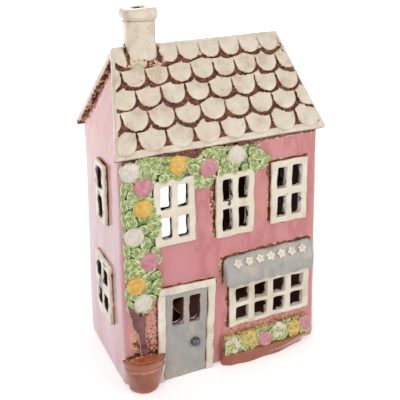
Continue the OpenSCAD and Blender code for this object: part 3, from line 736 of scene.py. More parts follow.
class HouseGlazes(PropertyGroup):
    pink: FloatVectorProperty(
        name="Pink", description="Pink of the walls", default=linear(201, 128, 127), **COLOUR)
    deep_pink: FloatVectorProperty(
        name="Deep pink", description="Deeper pink where the glaze is thick",
        default=linear(190, 111, 112), **COLOUR)
    warm_pink: FloatVectorProperty(
        name="Warm pink", description="Peach pink where the glaze is thin",
        default=linear(205, 137, 121), **COLOUR)
    # Painted sheen: the paler pink laid on the side walls, where light catches them
    pale_pink: FloatVectorProperty(
        name="Pale pink", description="Lilac pink of the side walls",
        default=linear(195, 131, 137), **COLOUR)


class HouseClay(PropertyGroup):
    wall_grain: FloatProperty(
        name="Wall grain", description="Size of the walls' faces", min=0.0009, max=0.003, default=0.0013,
        **LENGTH)
    fine_grain: FloatProperty(
        name="Fine grain", description="Size of the faces of windows, door, rose and foliage, against the usual",
        subtype="FACTOR", min=0.7, max=2, default=1)
    wobble: FloatProperty(
        name="Wobble", description="How far the hand strays from the straight line, against the usual",
        subtype="FACTOR", min=0, max=1.5, default=1)


class HouseTiles(PropertyGroup):
    across: IntProperty(name="Tiles across", description="Tiles in the lowest course", min=6, max=10, default=8)
    step: FloatProperty(
        name="Course step", description="From one course of tiles to the next, along the slope",
        min=0.011, max=0.013, default=0.0123, **LENGTH)
    proud: FloatProperty(
        name="Tile thickness", description="How far the tiles stand out", min=0.001, max=0.002, default=0.0015,
        **LENGTH)
    seed: IntProperty(name="Seed", description="Chance in how the tiles lie", min=0, default=7)


class HouseRose(PropertyGroup):
    leaf_apart: FloatProperty(
        name="Leaf spacing", description="Least distance between two leaves",
        min=0.002, max=0.006, default=0.0042, **LENGTH)
    seed: IntProperty(name="Seed", description="Chance in how the leaves lie", min=0, default=4)


class HouseStage(PropertyGroup):
    key: FloatProperty(name="Key light", description="Strength of the large lamp", default=5.6, **POWER)
    fill: FloatProperty(
        name="Fill light", description="Strength of the lamp on the other side", default=5.0, **POWER)
    sky: FloatProperty(
        name="Room light", description="Strength of the light from all round", min=0, default=0.66)


# ---- walls and roof ----

# Radius of the upright corners on the rose's side and on the other
CORNER_LEFT, CORNER_RIGHT = 6.0, 3.0
# How far behind a wall's plane its face still counts as its front, and how deep behind its faces the painted shade
# of recesses and the inside begins
FACE_DEPTH, SHADE_DEPTH = 2.0, 1.6
# Where the front wall's glaze is thin: round the rose's foot, over the trough, at the garland's tip
FOOT_RECT, TROUGH_RECT, TIP_RECT = (-61, 22, -47, 54), (2, 17, 57, 22), (10, 140, 22, 146)
EAVE_RUST_Y = 144.0


def rect_distance(x, y, rect):
    """Distance from points to a rectangle: negative inside it."""
    cx, cy = (rect[0] + rect[2]) / 2, (rect[1] + rect[3]) / 2
    dx, dy = np.abs(x - cx) - (rect[2] - rect[0]) / 2, np.abs(y - cy) - (rect[3] - rect[1]) / 2
    return np.hypot(np.maximum(dx, 0), np.maximum(dy, 0)) + np.minimum(np.maximum(dx, dy), 0)


def seam(x, y, rect, width=1.5):
    """Rust along a tile's outline: a thin line that swells to patches here and there, most on its left."""
    d = rect_distance(x, y, rect)
    swell, line = np.zeros(len(x)), np.zeros(len(x))
    for i in np.flatnonzero(np.abs(d) < 6):
        swell[i] = noise.noise(Vector((x[i] / 7.0, y[i] / 7.0, rect[0])))
        line[i] = noise.noise(Vector((x[i] / 3.0, y[i] / 3.0, rect[1])))
    lit = np.where((x > rect[2]) | (y > rect[3]), 0.68, 0.86) * (0.85 + 0.45 * line)
    ragged = np.maximum(width * (0.95 + 2.2 * swell), 0.4)
    line = np.where(d > -3.0, near(np.maximum(d, 0), ragged), 0.4) * lit
    beside = falls(x, rect[0], 0.5) + 0.6 * rises(x, rect[2], 0.5)
    specks = 0.47 * beside * falls(d, 3.0 + 2.6 * swell, 1.2)
    return np.maximum(line, specks)


def round_corners(co):
    """Bends what lies round the house's upright corners, so that they are round in plan."""
    front, back, left, right = [laid_flat(co, wall)[:, 2] for wall in (FRONT, BACK, LEFT, RIGHT)]
    corner = np.where(co[:, 0] < 0, CORNER_LEFT, CORNER_RIGHT)
    across = np.maximum(left, right) + corner
    along = np.maximum(front, back) + corner
    both = (across > 0) & (along > 0)
    scale = np.where(both, np.maximum(across, along) / np.maximum(np.hypot(across, along), 1e-6), 1.0)
    scale = 1 - (1 - scale) * falls(co[:, 2], EAVE_Z + 2, 4.0)
    out = co.copy()
    out[:, 0] += np.where(both, np.sign(co[:, 0]) * across * (scale - 1), 0)
    out[:, 1] += np.where(both, np.sign(co[:, 1]) * along * (scale - 1), 0)
    return out


def gable_depth(co):
    """How far points over the eaves lie inside the gables."""
    return SIDE_HALF - SIDE_IN - (co[:, 2] - EAVE_Z) * RIDGE_IN / (RIDGE_Z - EAVE_Z) - np.abs(co[:, 0])


def wall_marks(mesh):
    """Marks where the pink walls show rust, painted shade in their recesses and inside, and the paler pink painted
    on the side walls as sheen. Returns where they are rough.
    """
    co, no = coordinates(mesh), normals(mesh)
    front, back, left, right = [laid_flat(co, wall) for wall in (FRONT, BACK, LEFT, RIGHT)]
    x, y, out = front.T
    depth = -np.max([plane[:, 2] for plane in (front, back, left, right)], axis=0)
    under_roof = np.minimum(gable_depth(co), -np.maximum(out, back[:, 2]))
    # Painted shade: faces deep behind the walls' planes, and those under the roof inside the gables
    inside = rises(np.where(co[:, 2] > EAVE_Z, under_roof, depth), SHADE_DEPTH, SHADE_DEPTH)

    on_front = (out > -FACE_DEPTH).astype(float)
    rust = np.zeros(len(co))
    for rect in WINDOW_RECTS + [SHOP_RECT, AWNING_RECT]:
        rust = np.maximum(rust, on_front * seam(x, y, rect))
    door_x, door_y, _ = laid_flat(co, AT_DOOR).T
    frame_rect = (-DOOR_HALF, -9, DOOR_HALF, DOOR_H + JAMB)
    rust = np.maximum(rust, on_front * 0.75 * seam(door_x, door_y, frame_rect, 2.0))
    for plane, mirror in ((left, 1), (right, -1)):
        across = mirror * plane[:, 0]
        for rect in SIDE_RECTS:
            fore = rises(across - rect[2], -1.5, 1.5)
            line = near(np.maximum(rect_distance(across, plane[:, 1], rect), 0), 1.6 + 2.4 * fore)
            rust = np.maximum(rust, (plane[:, 2] > -FACE_DEPTH) * line * (0.66 - 0.1 * fore))

    ground = near(rect_distance(x, y, FOOT_RECT), 2.5) * on_front
    above_box = near(rect_distance(x, y, TROUGH_RECT), 3.5) * on_front
    tip = near(rect_distance(x, y, TIP_RECT), 2.5) * on_front
    eaves = near(np.abs(y - EAVE_RUST_Y), 4.0) * on_front
    slope = np.max([laid_flat(co, matrix)[:, 2] for matrix in SLOPES], axis=0)
    on_gable = np.abs(co[:, 0]) > 50
    gable_band = near(np.abs(slope + 6.5), 4.2) * on_gable * (co[:, 1] > 0) * (co[:, 2] > 140)
    gable_line = near(np.abs(slope + 3.9), 1.8) * on_gable * (co[:, 1] <= 0)
    rust = np.max([rust, tip * 0.45, ground * (0.36 + 0.1 * falls(y, 44, 18)), above_box * 0.37, eaves * 0.95,
                   gable_band * 0.5, gable_line * 0.6], axis=0)

    # Painted shade behind the door, and half of it on the sills under the door's panes, which take the paler pink
    opening = (-DOOR_HALF + 2, -9, DOOR_HALF - 2, DOOR_H)
    behind_door = (rect_distance(door_x, door_y, opening) < 0) & (out < -0.5)
    sill = behind_door & (np.abs(door_y - PANE_FOOT) < 2.0) & (out > -7.5)
    inside = np.where(behind_door & (out > -6), 0.9, inside)
    inside, rust = np.where(sill, 0.56, inside), np.where(sill, 0.0, rust)
    # Painted light: the side walls take the paler pink as their sheen, less of it towards the eaves, which shade
    # their top
    pale = rises(np.abs(no[:, 0]), 0.35, 0.5) * (0.92 - 0.8 * rises(co[:, 2], 96, 60))
    put_attribute(mesh, "rust", rust * (1 - inside))
    put_attribute(mesh, "inside", inside)
    put_attribute(mesh, "accent", np.where(sill, 1.0, pale))
    return np.max([ground, gable_band, above_box * 0.8], axis=0)


class HOUSE_OT_walls(Operator):
    """Make the four walls and two gables as one soft-cornered slab-built shell"""

    bl_idname = "tealight_house.walls"
    bl_label = "Walls"

    def execute(self, context):
        nodes = ("front_wall", "back_wall", "left_wall", "right_wall", "left_gable", "right_gable")
        mesh = softened(cad_mesh(*nodes), context.scene.house_clay.wall_grain / MM, 6)
        rough = wall_marks(mesh)
        put_coordinates(mesh, round_corners(coordinates(mesh)))
        roughened(mesh, 0.55, 2.2, rough)
        wobbled(mesh, 0.5, 38.0, 1)
        piece("wall_shell", mesh, "wall", nodes, shaded_inside=True)
        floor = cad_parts["floor_slab"].data
        floor.materials.clear()
        floor.materials.append(finish_of("clay"))
        return {"FINISHED"}


def roof_half_at(y):
    """Half the roof's width at a height up its slope."""
    return ROOF_HALF - RIDGE_IN * y / SLOPE_L


class HOUSE_OT_roof(Operator):
    """Make the two roof slabs with rounded eaves and verges"""

    bl_idname = "tealight_house.roof"
    bl_label = "Roof slabs"

    def execute(self, context):
        nodes = ("front_roof", "back_roof")
        mesh = softened(cad_mesh(*nodes), ROOF_FACES, 4)
        co = coordinates(mesh)
        planes = [laid_flat(co, matrix) for matrix in SLOPES]
        deep = -np.max([plane[:, 2] for plane in planes], axis=0)
        from_eave = np.min([np.abs(plane[:, 1]) for plane in planes], axis=0)
        gable_in = gable_depth(co)
        rust = np.zeros(len(co))
        for x, y, z in (plane.T for plane in planes):
            tiled = rises(roof_half_at(y) - np.abs(x), 2.4, 1.0) * rises(y, 3.2, 1.2)
            tiled = tiled * falls(y, SLOPE_L - 9.0, 3.0)
            rust = np.maximum(rust, np.where(z > -1.5, tiled, 0))
        # Painted shade on the slabs' undersides, away from the eaves and the gables
        inside = rises(deep, 2.6, 1.0) * rises(from_eave, 5.0, 2.0) * rises(gable_in, 2.0, 1.0)
        lip = rises(deep, 1.5, 0.8) * (1 - rises(from_eave, 2.5, 2.0)) * 0.95
        # The verges' undersides take the peach accent, painted light where they lie in shade, with rust specks over
        # it
        verge = rises(deep, 3.0, 0.8) * falls(gable_in, 2.0, 1.0) * rises(gable_in, -4.0, 1.5)
        put_attribute(mesh, "rust", np.maximum.reduce([rust, lip, verge * 0.54]) * (1 - inside))
        put_attribute(mesh, "inside", inside)
        put_attribute(mesh, "accent", verge)
        wobbled(mesh, 0.5, 26.0, 2)
        piece("roof_slabs", mesh, "cream", nodes, shaded_inside=True)
        return {"FINISHED"}


# Courses on a slope, how far up it the lowest foot is, the gap between two tiles and the height of their undersides
TILE_COURSES, FIRST_FOOT, TILE_GAP, TILE_SINK = 5, 1.6, 0.5, -0.5


def tongue(radius, length, thick):
    """A tile: a tongue with a round foot, a soft edge and a crowned face, closed underneath."""
    offsets = [0.0, 0.12, 0.35, 0.7, 1.15, 1.7, 2.4, 3.2, 4.0, 4.8, 5.6, 6.4, 7.0]
    offsets = [d for d in offsets if d < radius - 0.25] + [radius - 0.2]
    side, arc = 30, 24
    up = [length * (1 - i / side) for i in range(side)]
    spread = [0.65 * float(rises(y, 1.5, 3.5)) for y in up]
    round_foot = [math.pi * i / arc for i in range(arc + 1)]
    points, edge = [], []
    for d in offsets:
        r = radius - d
        curve = [(-r - wider, y) for wider, y in zip(spread, up)]
        curve += [(-r * math.cos(a), -r * math.sin(a)) for a in round_foot]
        curve += [(r + wider, y) for wider, y in zip(spread[::-1], up[::-1])]
        soft = min(d / 1.5, 1.0)
        z = thick * (0.15 + 0.85 * math.sqrt(1 - (1 - soft) ** 2)) + 0.2 * (1 - (r / radius) ** 2)
        points += [(x, y, z) for x, y in curve]
        edge += [max(0.0, 1 - d / 0.9)] * len(curve)
    n, rows = 2 * side + arc + 1, len(offsets) - 1
    last = rows * n
    faces = grid_faces(rows, n)
    faces += [(last + i, last + i + 1, last + n - 2 - i, last + n - 1 - i) for i in range(n // 2 - 1)]
    rim = [a * n for a in range(rows, -1, -1)] + list(range(1, n)) + [a * n + n - 1 for a in range(1, rows + 1)]
    faces += skirt_faces(rim, len(points))
    points += [(points[i][0], points[i][1], TILE_SINK) for i in rim]
    mesh = mesh_of("tile", points, faces)
    put_attribute(mesh, "edge", edge + [1.0] * len(rim))
    return mesh


def groove(p, tree, foot):
    """How high a point keeps standing under or beside the course above, from 0 to 1, and its rust there."""
    edge, _, away = foot.find((p[0], p[1], 0))
    if away > 6:
        return 1.0, 0.0
    below = max(0.0, (edge.y - p[1]) / max(away, 0.01))
    if tree.ray_cast(Vector((p[0], p[1], 30)), Vector((0, 0, -1)))[0] is not None:
        away = -away
    drift = noise.noise(Vector((edge.x, edge.y, 3.0)) / 6.0)
    aside = (edge.x - p[0]) / max(abs(away), 0.01)
    wide = max(0.1, 0.85 + 0.6 * aside + 2.5 * (1 - below) ** 0.8 + 2.4 * drift)
    s = min(max((away - wide) / 0.9, 0.0), 1.0)
    rust = 1.25 * (1 - min(max((away - wide * 0.95) / 1.1, 0.0), 1.0))
    return s * s * (3 - 2 * s), rust


class HOUSE_OT_tiles(Operator):
    """Lay five courses of round-footed tiles on each slope, with rust in the grooves between them"""

    bl_idname = "tealight_house.tiles"
    bl_label = "Roof tiles"

    def execute(self, context):
        given = context.scene.house_tiles
        thick, step = given.proud / MM, given.step / MM
        lean = math.atan(RIDGE_IN / SLOPE_L)
        for turn, side in ((0, "front"), (180, "back")):
            above = None
            for k in reversed(range(TILE_COURSES)):
                foot = FIRST_FOOT + k * step
                pitch = 2 * roof_half_at(foot) / (given.across + 0.12 * k)
                radius = (pitch - TILE_GAP) / 2
                shift = (-0.12 if k % 2 == 0 else 0.3) * pitch
                first = (-(k % 2) - (given.across - 1) / 2) * pitch + shift
                length = step * 1.2 if k < TILE_COURSES - 1 else 2.2 * step
                mesh = grown(
                    "row", points_mesh(), tongue(radius, length, thick), "cream", Count=given.across + k % 2 + 1,
                    First=(first, foot + radius, 0.0), Step=(pitch, 0.0, 0.0), Turn=(0.0, 0.0, math.radians(2.2)),
                    Least_size=(0.95, 0.95, 0.9), Most_size=(1.02, 1.04, 1.12), Seed=given.seed + 3 * k + turn)
                for s in (-1, 1):
                    cut_off(mesh, (s * (ROOF_HALF - 0.9), 0, 0), (s * math.cos(lean), math.sin(lean), 0))
                cut_off(mesh, (0, SLOPE_L - 0.8, 0), (0, 1, 0))
                above = self.carve(mesh, above)
                mesh.transform(slope_matrix(turn))
                wobbled(mesh, 0.25, 9.0, k + turn)
                piece(f"{side}_tiles_{k + 1}", mesh, "cream", (f"{side}_course_{k + 1}",))
        return {"FINISHED"}

    def carve(self, mesh, above):
        """Sinks what lies under the course above and beside its edge, and marks the rust there."""
        co = coordinates(mesh)
        rust = get_attribute(mesh, "edge") * 0.55 * rises(co[:, 1], 3.0, 5.0)
        lift = np.ones(len(co))
        if above:
            for i in np.flatnonzero(co[:, 2] >= 0):
                lift[i], worn = groove(co[i], *above)
                rust[i] = max(rust[i], worn)

        place = transformed(co, SLOPES[0])
        off = np.maximum(np.abs(place[:, 0] - STACK_X) - STACK_W / 2, np.abs(place[:, 1]) - STACK_D / 2)
        lift = lift * rises(off, 0.6, 2.6)
        clear = rises(off, 2.0, 2.5)
        rust = np.maximum(rust * clear, 0.5 * (1 - clear) * rises(place[:, 0] - STACK_X, -2.0, 4.0))
        ragged = 1.1 + 1.2 * noise_at(place, 2.5)
        beside_stack = (np.abs(place[:, 0] - STACK_X) > STACK_W / 2 - 0.5) * near(off - ragged, 1.2)
        verge = roof_half_at(co[:, 1]) - np.abs(co[:, 0]) - 0.8
        ridge = SLOPE_L - co[:, 1]
        rust = rust * rises(verge, 0.4, 1.6) * rises(ridge, 4.0, 5.0)
        put_attribute(mesh, "rust", np.maximum(rust, beside_stack * rises(ridge, 0.5, 2.0)))

        tree = BVHTree.FromPolygons([tuple(p) for p in co], [tuple(p.vertices) for p in mesh.polygons])
        sunk = np.flatnonzero(co[:, 2] < 0)
        outline = KDTree(len(sunk))
        for i in sunk:
            outline.insert((co[i, 0], co[i, 1], 0), i)
        outline.balance()
        fade = np.maximum(smoothstep(0.25 + verge / 2.2) * smoothstep(0.1 + ridge / 4.5), 0.08)
        co[:, 2] = np.where(co[:, 2] > 0, (co[:, 2] * lift + 0.1 * (1 - lift)) * fade, co[:, 2])
        put_coordinates(mesh, co)
        return tree, outline


def over_roof(co):
    """How high points stand over the roof's slopes."""
    return co[:, 2] - RIDGE_Z + np.abs(co[:, 1]) * math.tan(PITCH)


class HOUSE_OT_chimney(Operator):
    """Make the chimney stack and its rolled collar"""

    bl_idname = "tealight_house.chimney"
    bl_label = "Chimney"

    def execute(self, context):
        parts = ("chimney_stack", "chimney_stack_body", 3), ("chimney_collar", "chimney_rim", 4)
        for node, name, seed in parts:
            mesh = cad_mesh(node)
            co = coordinates(mesh)
            co[:, 2] -= np.where(over_roof(co) < 1.0, 3.5, 0)
            put_coordinates(mesh, co)
            mesh = softened(mesh, FACES, 5)
            co = coordinates(mesh)
            height = over_roof(co) * math.cos(PITCH)
            rust = np.zeros(len(co))
            if node == "chimney_stack":
                flare = 1 + 0.05 * np.exp(-np.maximum(height, 0) / 1.5)
                co[:, 0] = STACK_X + (co[:, 0] - STACK_X) * flare
                co[:, 1] = co[:, 1] * flare
                put_coordinates(mesh, co)
                aside = rises(np.abs(co[:, 0] - STACK_X) - STACK_W / 2, -1.2, 1.2)
                rust = near(height - 0.4, 1.8) * (0.42 + 0.4 * aside)
            put_attribute(mesh, "rust", rust)
            # The flue's hole is painted dark as shade
            bore = np.hypot((co[:, 0] - STACK_X) / 3.9, co[:, 1] / 3.0)
            put_attribute(mesh, "inside", falls(bore, 1.12, 0.12) * (co[:, 2] < co[:, 2].max() - 0.5))
            wobbled(mesh, 0.5, 11.0, seed)
            piece(name, mesh, "cream", (node,), shaded_inside=True)
        return {"FINISHED"}


# ---- windows and door ----


class HOUSE_OT_windows(Operator):
    """Make the window tiles, pierced by their panes, with rust on their sides"""

    bl_idname = "tealight_house.windows"
    bl_label = "Windows"

    def execute(self, context):
        # The share of rust, where the panes' sides take painted shade and how ragged that line is
        tiles = [(f"upper_window_{place}", FRONT, 1.0, 0.8, 3.5) for place in ("left", "middle", "right")]
        tiles += [("shop_window", FRONT, 1.0, -0.3, 3.2)]
        tiles += [(f"{side}_window_{place}", wall, 0.58, 2.9, 1.2)
                  for side, wall in (("left", LEFT), ("right", RIGHT)) for place in ("upper", "lower")]
        for seed, (node, wall, worn, depth, ragged) in enumerate(tiles, 5):
            mesh = clay_copy(node, 4, SMALL_FACES, 0.55, 8.0, seed)
            local = laid_flat(coordinates(mesh), wall)
            x, y, z = local.T
            left, low = x - x.min(), y - y.min()
            out = np.minimum.reduce([left, x.max() - x, low, y.max() - y])
            patchy = noise_at(local, 4.0)
            rim = near(out, 0.9) * falls(z, 1.9, 1.0)
            heavy = np.where((left < 1.6) | (low < 1.6), 0.86, 0.7) * (0.85 + 0.6 * patchy) * worn
            put_attribute(mesh, "rust", np.maximum(rim * heavy, falls(z, -0.4, 2.0) * 0.5 * (out > 2)))
            # Painted shade on the panes' sides, from the given depth in
            put_attribute(mesh, "inside", falls(z, depth + ragged * patchy, 1.6) * (out > 1.8))
            piece(f"{node}_tile", mesh, "frames", (node,))
        return {"FINISHED"}


class HOUSE_OT_door(Operator):
    """Make the door, its jambs and head, and its knob"""

    bl_idname = "tealight_house.door"
    bl_label = "Door"

    def execute(self, context):
        mesh = clay_copy("door", 3, SMALL_FACES, 0.3, 9.0, 20)
        x, y, _ = laid_flat(coordinates(mesh), AT_DOOR).T
        out = np.minimum.reduce([x - x.min(), x.max() - x, y.max() - y])
        pane = np.minimum(*[np.abs(rect_distance(x, y, rect)) for rect in DOOR_PANES])
        sill = near(np.abs(y - PANE_FOOT), 2.0)
        put_attribute(mesh, "rust", np.maximum(near(out, 1.3) * 0.55, near(pane, 0.9) * 0.4 * (1 - sill)))
        piece("door_leaf", mesh, "grey", ("door",))

        for node, name, seed in (("door_jambs", "door_jamb_strips", 21), ("door_head", "door_head_strip", 22)):
            mesh = clay_copy(node, 4, SMALL_FACES, 0.6, 9.0, seed)
            x, y, z = laid_flat(coordinates(mesh), AT_DOOR).T
            outer = np.minimum(np.abs(np.abs(x) - DOOR_W / 2 - JAMB), np.abs(y - DOOR_H - JAMB))
            put_attribute(mesh, "rust", near(outer, 0.9) * falls(z, 2.0, 1.2) * 0.8)
            piece(name, mesh, "frames", (node,))
        piece("door_knob_glazed", softened(cad_mesh("door_knob"), KNOB_FACES, 3), "knob", ("door_knob",))
        return {"FINISHED"}


# ---- awning ----


def petal(length, width, lift, thick, point, rows=6):
    """A dished petal that grows along +y from the origin, closed underneath."""
    columns = 4
    points = []
    for j in range(rows + 1):
        v = j / rows
        half = width / 2 * max(0.04, math.sin(math.pi * min(0.999, (0.12 + 0.88 * v) ** (1 - point)))) ** 0.55
        for i in range(columns + 1):
            u = 2 * i / columns - 1
            dished = thick + lift * math.sin(math.pi * v * 0.8) - 0.35 * thick * (1 - u * u)
            points.append((u * half, length * v, dished - 0.3 * thick * abs(u) ** 3))
    rim = grid_rim(rows, columns + 1)
    faces = grid_faces(rows, columns + 1) + skirt_faces(rim, len(points))
    points += [(points[i][0], points[i][1], -0.2) for i in rim]
    mesh = mesh_of("petal", points, faces)
    put_attribute(mesh, "accent", [max(0.0, 1 - p[1] / (0.45 * length)) for p in points])
    return mesh


def dome(radius, height, segments, sink=0.3, dimple=0.0):
    """A round button with a closed, flat underside."""
    rings = 4
    profile = [(0.0, -sink), (radius, -sink)]
    for i in range(rings + 1):
        a = math.pi / 2 * i / rings
        r = radius * math.cos(a)
        profile.append((r, height * math.sin(a) - dimple * math.exp(-((r / (0.4 * radius)) ** 2))))
    return ring_mesh("dome", profile, segments)


# The awning's middle and foot, its width and height, how far it stands out and the radius of its round face
AWNING_X, AWNING_Z, AWNING_W, AWNING_H, AWNING_OUT = 28.3, 57.0, 61.0, 17.0, 6.5
AWNING_R = (AWNING_OUT**2 + AWNING_H**2) / (2 * AWNING_OUT)
BLOSSOMS = 7


class HOUSE_OT_awning(Operator):
    """Make the awning with its scalloped edge and the row of blossoms on it"""

    bl_idname = "tealight_house.awning"
    bl_label = "Awning"

    def execute(self, context):
        mesh = softened(cad_mesh("awning", "awning_valance"), FACES, 9)
        x, y, z = laid_flat(coordinates(mesh), FRONT).T
        z = z + 0.9 * near(AWNING_Z + AWNING_H - y, 6.0) * rises(z, 0.2, 0.8)
        ends = rises(np.abs(x - AWNING_X) - AWNING_W / 2, -3.0, 3.0)
        y = y - 1.8 * ends * rises(y - AWNING_Z - AWNING_H, -5.0, 5.0)
        put_coordinates(mesh, transformed(np.stack([x, y, z], 1), FRONT))
        rust = near(-rect_distance(x, y, AWNING_RECT), 1.2) * falls(z, 2.0, 1.2) * 0.9
        warm = 0.30 * near(np.abs(y - 64.0), 5.0) * near(np.abs(x - 18), 22)
        foot = falls(y, AWNING_Z - 1.3, 0.8) * 0.5
        put_attribute(mesh, "rust", np.maximum.reduce([rust, warm, foot]))
        wobbled(mesh, 0.6, 7.0, 30)
        piece("awning_canopy", mesh, "grey", ("awning", "awning_valance"))

        step = 0.85 * AWNING_W / BLOSSOMS
        petals = grown("ring", points_mesh((0, 0, 0)), petal(2.5, 2.5, 0.15, 0.8, 0.1, 5), "frames",
                       Count=5, Out=0.45, Turn=0.0, Seed=1)
        mesh = grown("row", points_mesh(), joined([petals, dome(0.85, 1.1, 12)]), "frames", Count=BLOSSOMS,
                     First=(-(BLOSSOMS // 2) * step, 0.0, AWNING_R + 0.3), Step=(step, 0.0, 0.0),
                     Turn=(0.05, 0.05, 0.6), Least_size=(0.92, 0.92, 0.9), Most_size=(1.06, 1.06, 1.1), Seed=5)
        axis = Matrix.Translation((AWNING_X, AWNING_Z, AWNING_OUT - AWNING_R))
        mesh.transform(FRONT @ axis @ Matrix.Rotation(-math.asin(0.7 * AWNING_H / AWNING_R), 4, "X"))
        piece("awning_blossom_row", mesh, "frames", ("awning_blossoms",))
        return {"FINISHED"}


# ---- climbing rose ----

# Each bloom's place, as a share of the house's half width and of the height of its eaves
ROSES = {
    "white": [(-0.885, 0.944), (-0.878, 0.686), (-0.825, 0.396), (0.097, 0.943)],
    "pink": [(-0.778, 0.882), (-0.754, 0.571), (-0.182, 0.911)],
    "yellow": [(-0.458, 0.943), (-0.782, 0.793), (-0.88, 0.478)],
}
ROSE_R = 5.8
# Which way the garland's tip points on the wall, and how far that way it keeps its full width
TIP_ACROSS = np.array((0.61, 0.79))
TIP_REACH = 121.8
# Leaves are scattered to the right of this; to its left a column of larger ones covers the corner
SCATTER_LEFT = -59.8


def rose_mesh(radius, height, turns, relief, rings=22, segments=44):
    """A bloom seen from above: petals wound in a spiral round its heart, on a low dome."""
    points, mark = [], []
    for j in range(rings + 1):
        r = j / rings
        for i in range(segments):
            a = 2 * math.pi * i / segments
            wound = 2 * math.pi * (turns * r**0.85) - a
            wave = math.cos(wound + 0.8 * math.sin(3 * a + 5 * r) + 0.6 * math.sin(2 * a))
            wave *= 0.7 + 0.3 * math.cos(4 * a + 9 * r)
            body = math.sqrt(max(0.0, 1 - r**2.6))
            ease = (0.35 + 0.65 * r) * min(1.0, (1.02 - r) * 6) * min(1.0, r * 5)
            z = height * (0.25 + 0.75 * body) + relief * wave * ease
            lobe = 1 + 0.025 * math.cos(5 * a + 1.0)
            points.append((radius * r * lobe * math.cos(a), radius * r * lobe * math.sin(a),
                           z if j < rings else 0.1 * height))
            mark.append(max(0.0, -wave) * 1.6 * relief if 0 < j < rings else 0.3)
    rim = [rings * segments + i for i in range(segments)]
    faces = grid_faces(rings, segments, closed=True) + skirt_faces(rim, len(points))
    points += [(points[i][0], points[i][1], -0.9) for i in rim]
    mesh = bpy.data.meshes.new("rose")
    mesh.from_pydata(points, [], faces)
    put_attribute(mesh, "accent", mark + [0.3] * segments)
    share = [math.hypot(p[0], p[1]) / radius for p in points]
    put_attribute(mesh, "rust", [0.55 * max(0.0, min(1.0, (r - 0.93) / 0.08)) for r in share])
    return welded(mesh, 0.0005)


def leaf_mesh(length, width, rise, rows=16):
    """A plump leaf: a raised pale margin, and a midrib and side veins sunk in deeper green."""
    across = (-1.0, -0.88, -0.7, -0.46, -0.22, -0.08, 0.08, 0.22, 0.46, 0.7, 0.88, 1.0)
    points, pale, deep = [], [], []
    for j in range(rows + 1):
        v = j / rows
        half = width / 2 * max(0.05, math.sin(math.pi * (0.05 + 0.91 * v))) ** 0.6
        half *= 1 + 0.05 * math.cos(8 * math.pi * v)
        for u in across:
            wave = math.cos(2 * math.pi * (2.3 * v - 0.7 * abs(u)))
            vein = max(0.0, (wave - 0.45) / 0.55) * (abs(u) < 0.8)
            margin = max(0.0, 1 - abs(abs(u) - 0.9) / 0.24)
            rib = max(0.0, 1 - abs(u) / 0.18)
            sunk = max(rib * (v < 0.85), 0.9 * vein)
            body = rise * math.sin(math.pi * (0.1 + 0.8 * v)) * (1 - 0.6 * u * u)
            points.append((u * half, length * (v - 0.5), 0.3 + body - 0.35 * sunk + 0.2 * margin))
            pale.append(max(0.9 * margin, 0.55 * max(0.0, -wave)) * (1 - sunk) if 0 < j < rows else 0.6)
            deep.append(0.85 * sunk)
    rim = grid_rim(rows, len(across))
    faces = grid_faces(rows, len(across)) + skirt_faces(rim, len(points))
    points += [(points[i][0] * 0.94, points[i][1] * 0.96, -0.5) for i in rim]
    mesh = mesh_of("leaf", points, faces)
    put_attribute(mesh, "accent", pale + [0.0] * len(rim))
    put_attribute(mesh, "inside", deep + [1.0] * len(rim))
    return mesh


def under_eaves(x, y):
    """The rust line under the eaves, which widens between two of the roses."""
    edge = 142.9 - 3.6 * np.exp(-(((x + 20.0) / 4.5) ** 2)) - 1.0 * np.sin(x / 6.0)
    return 0.95 * rises(y, edge, 0.9)


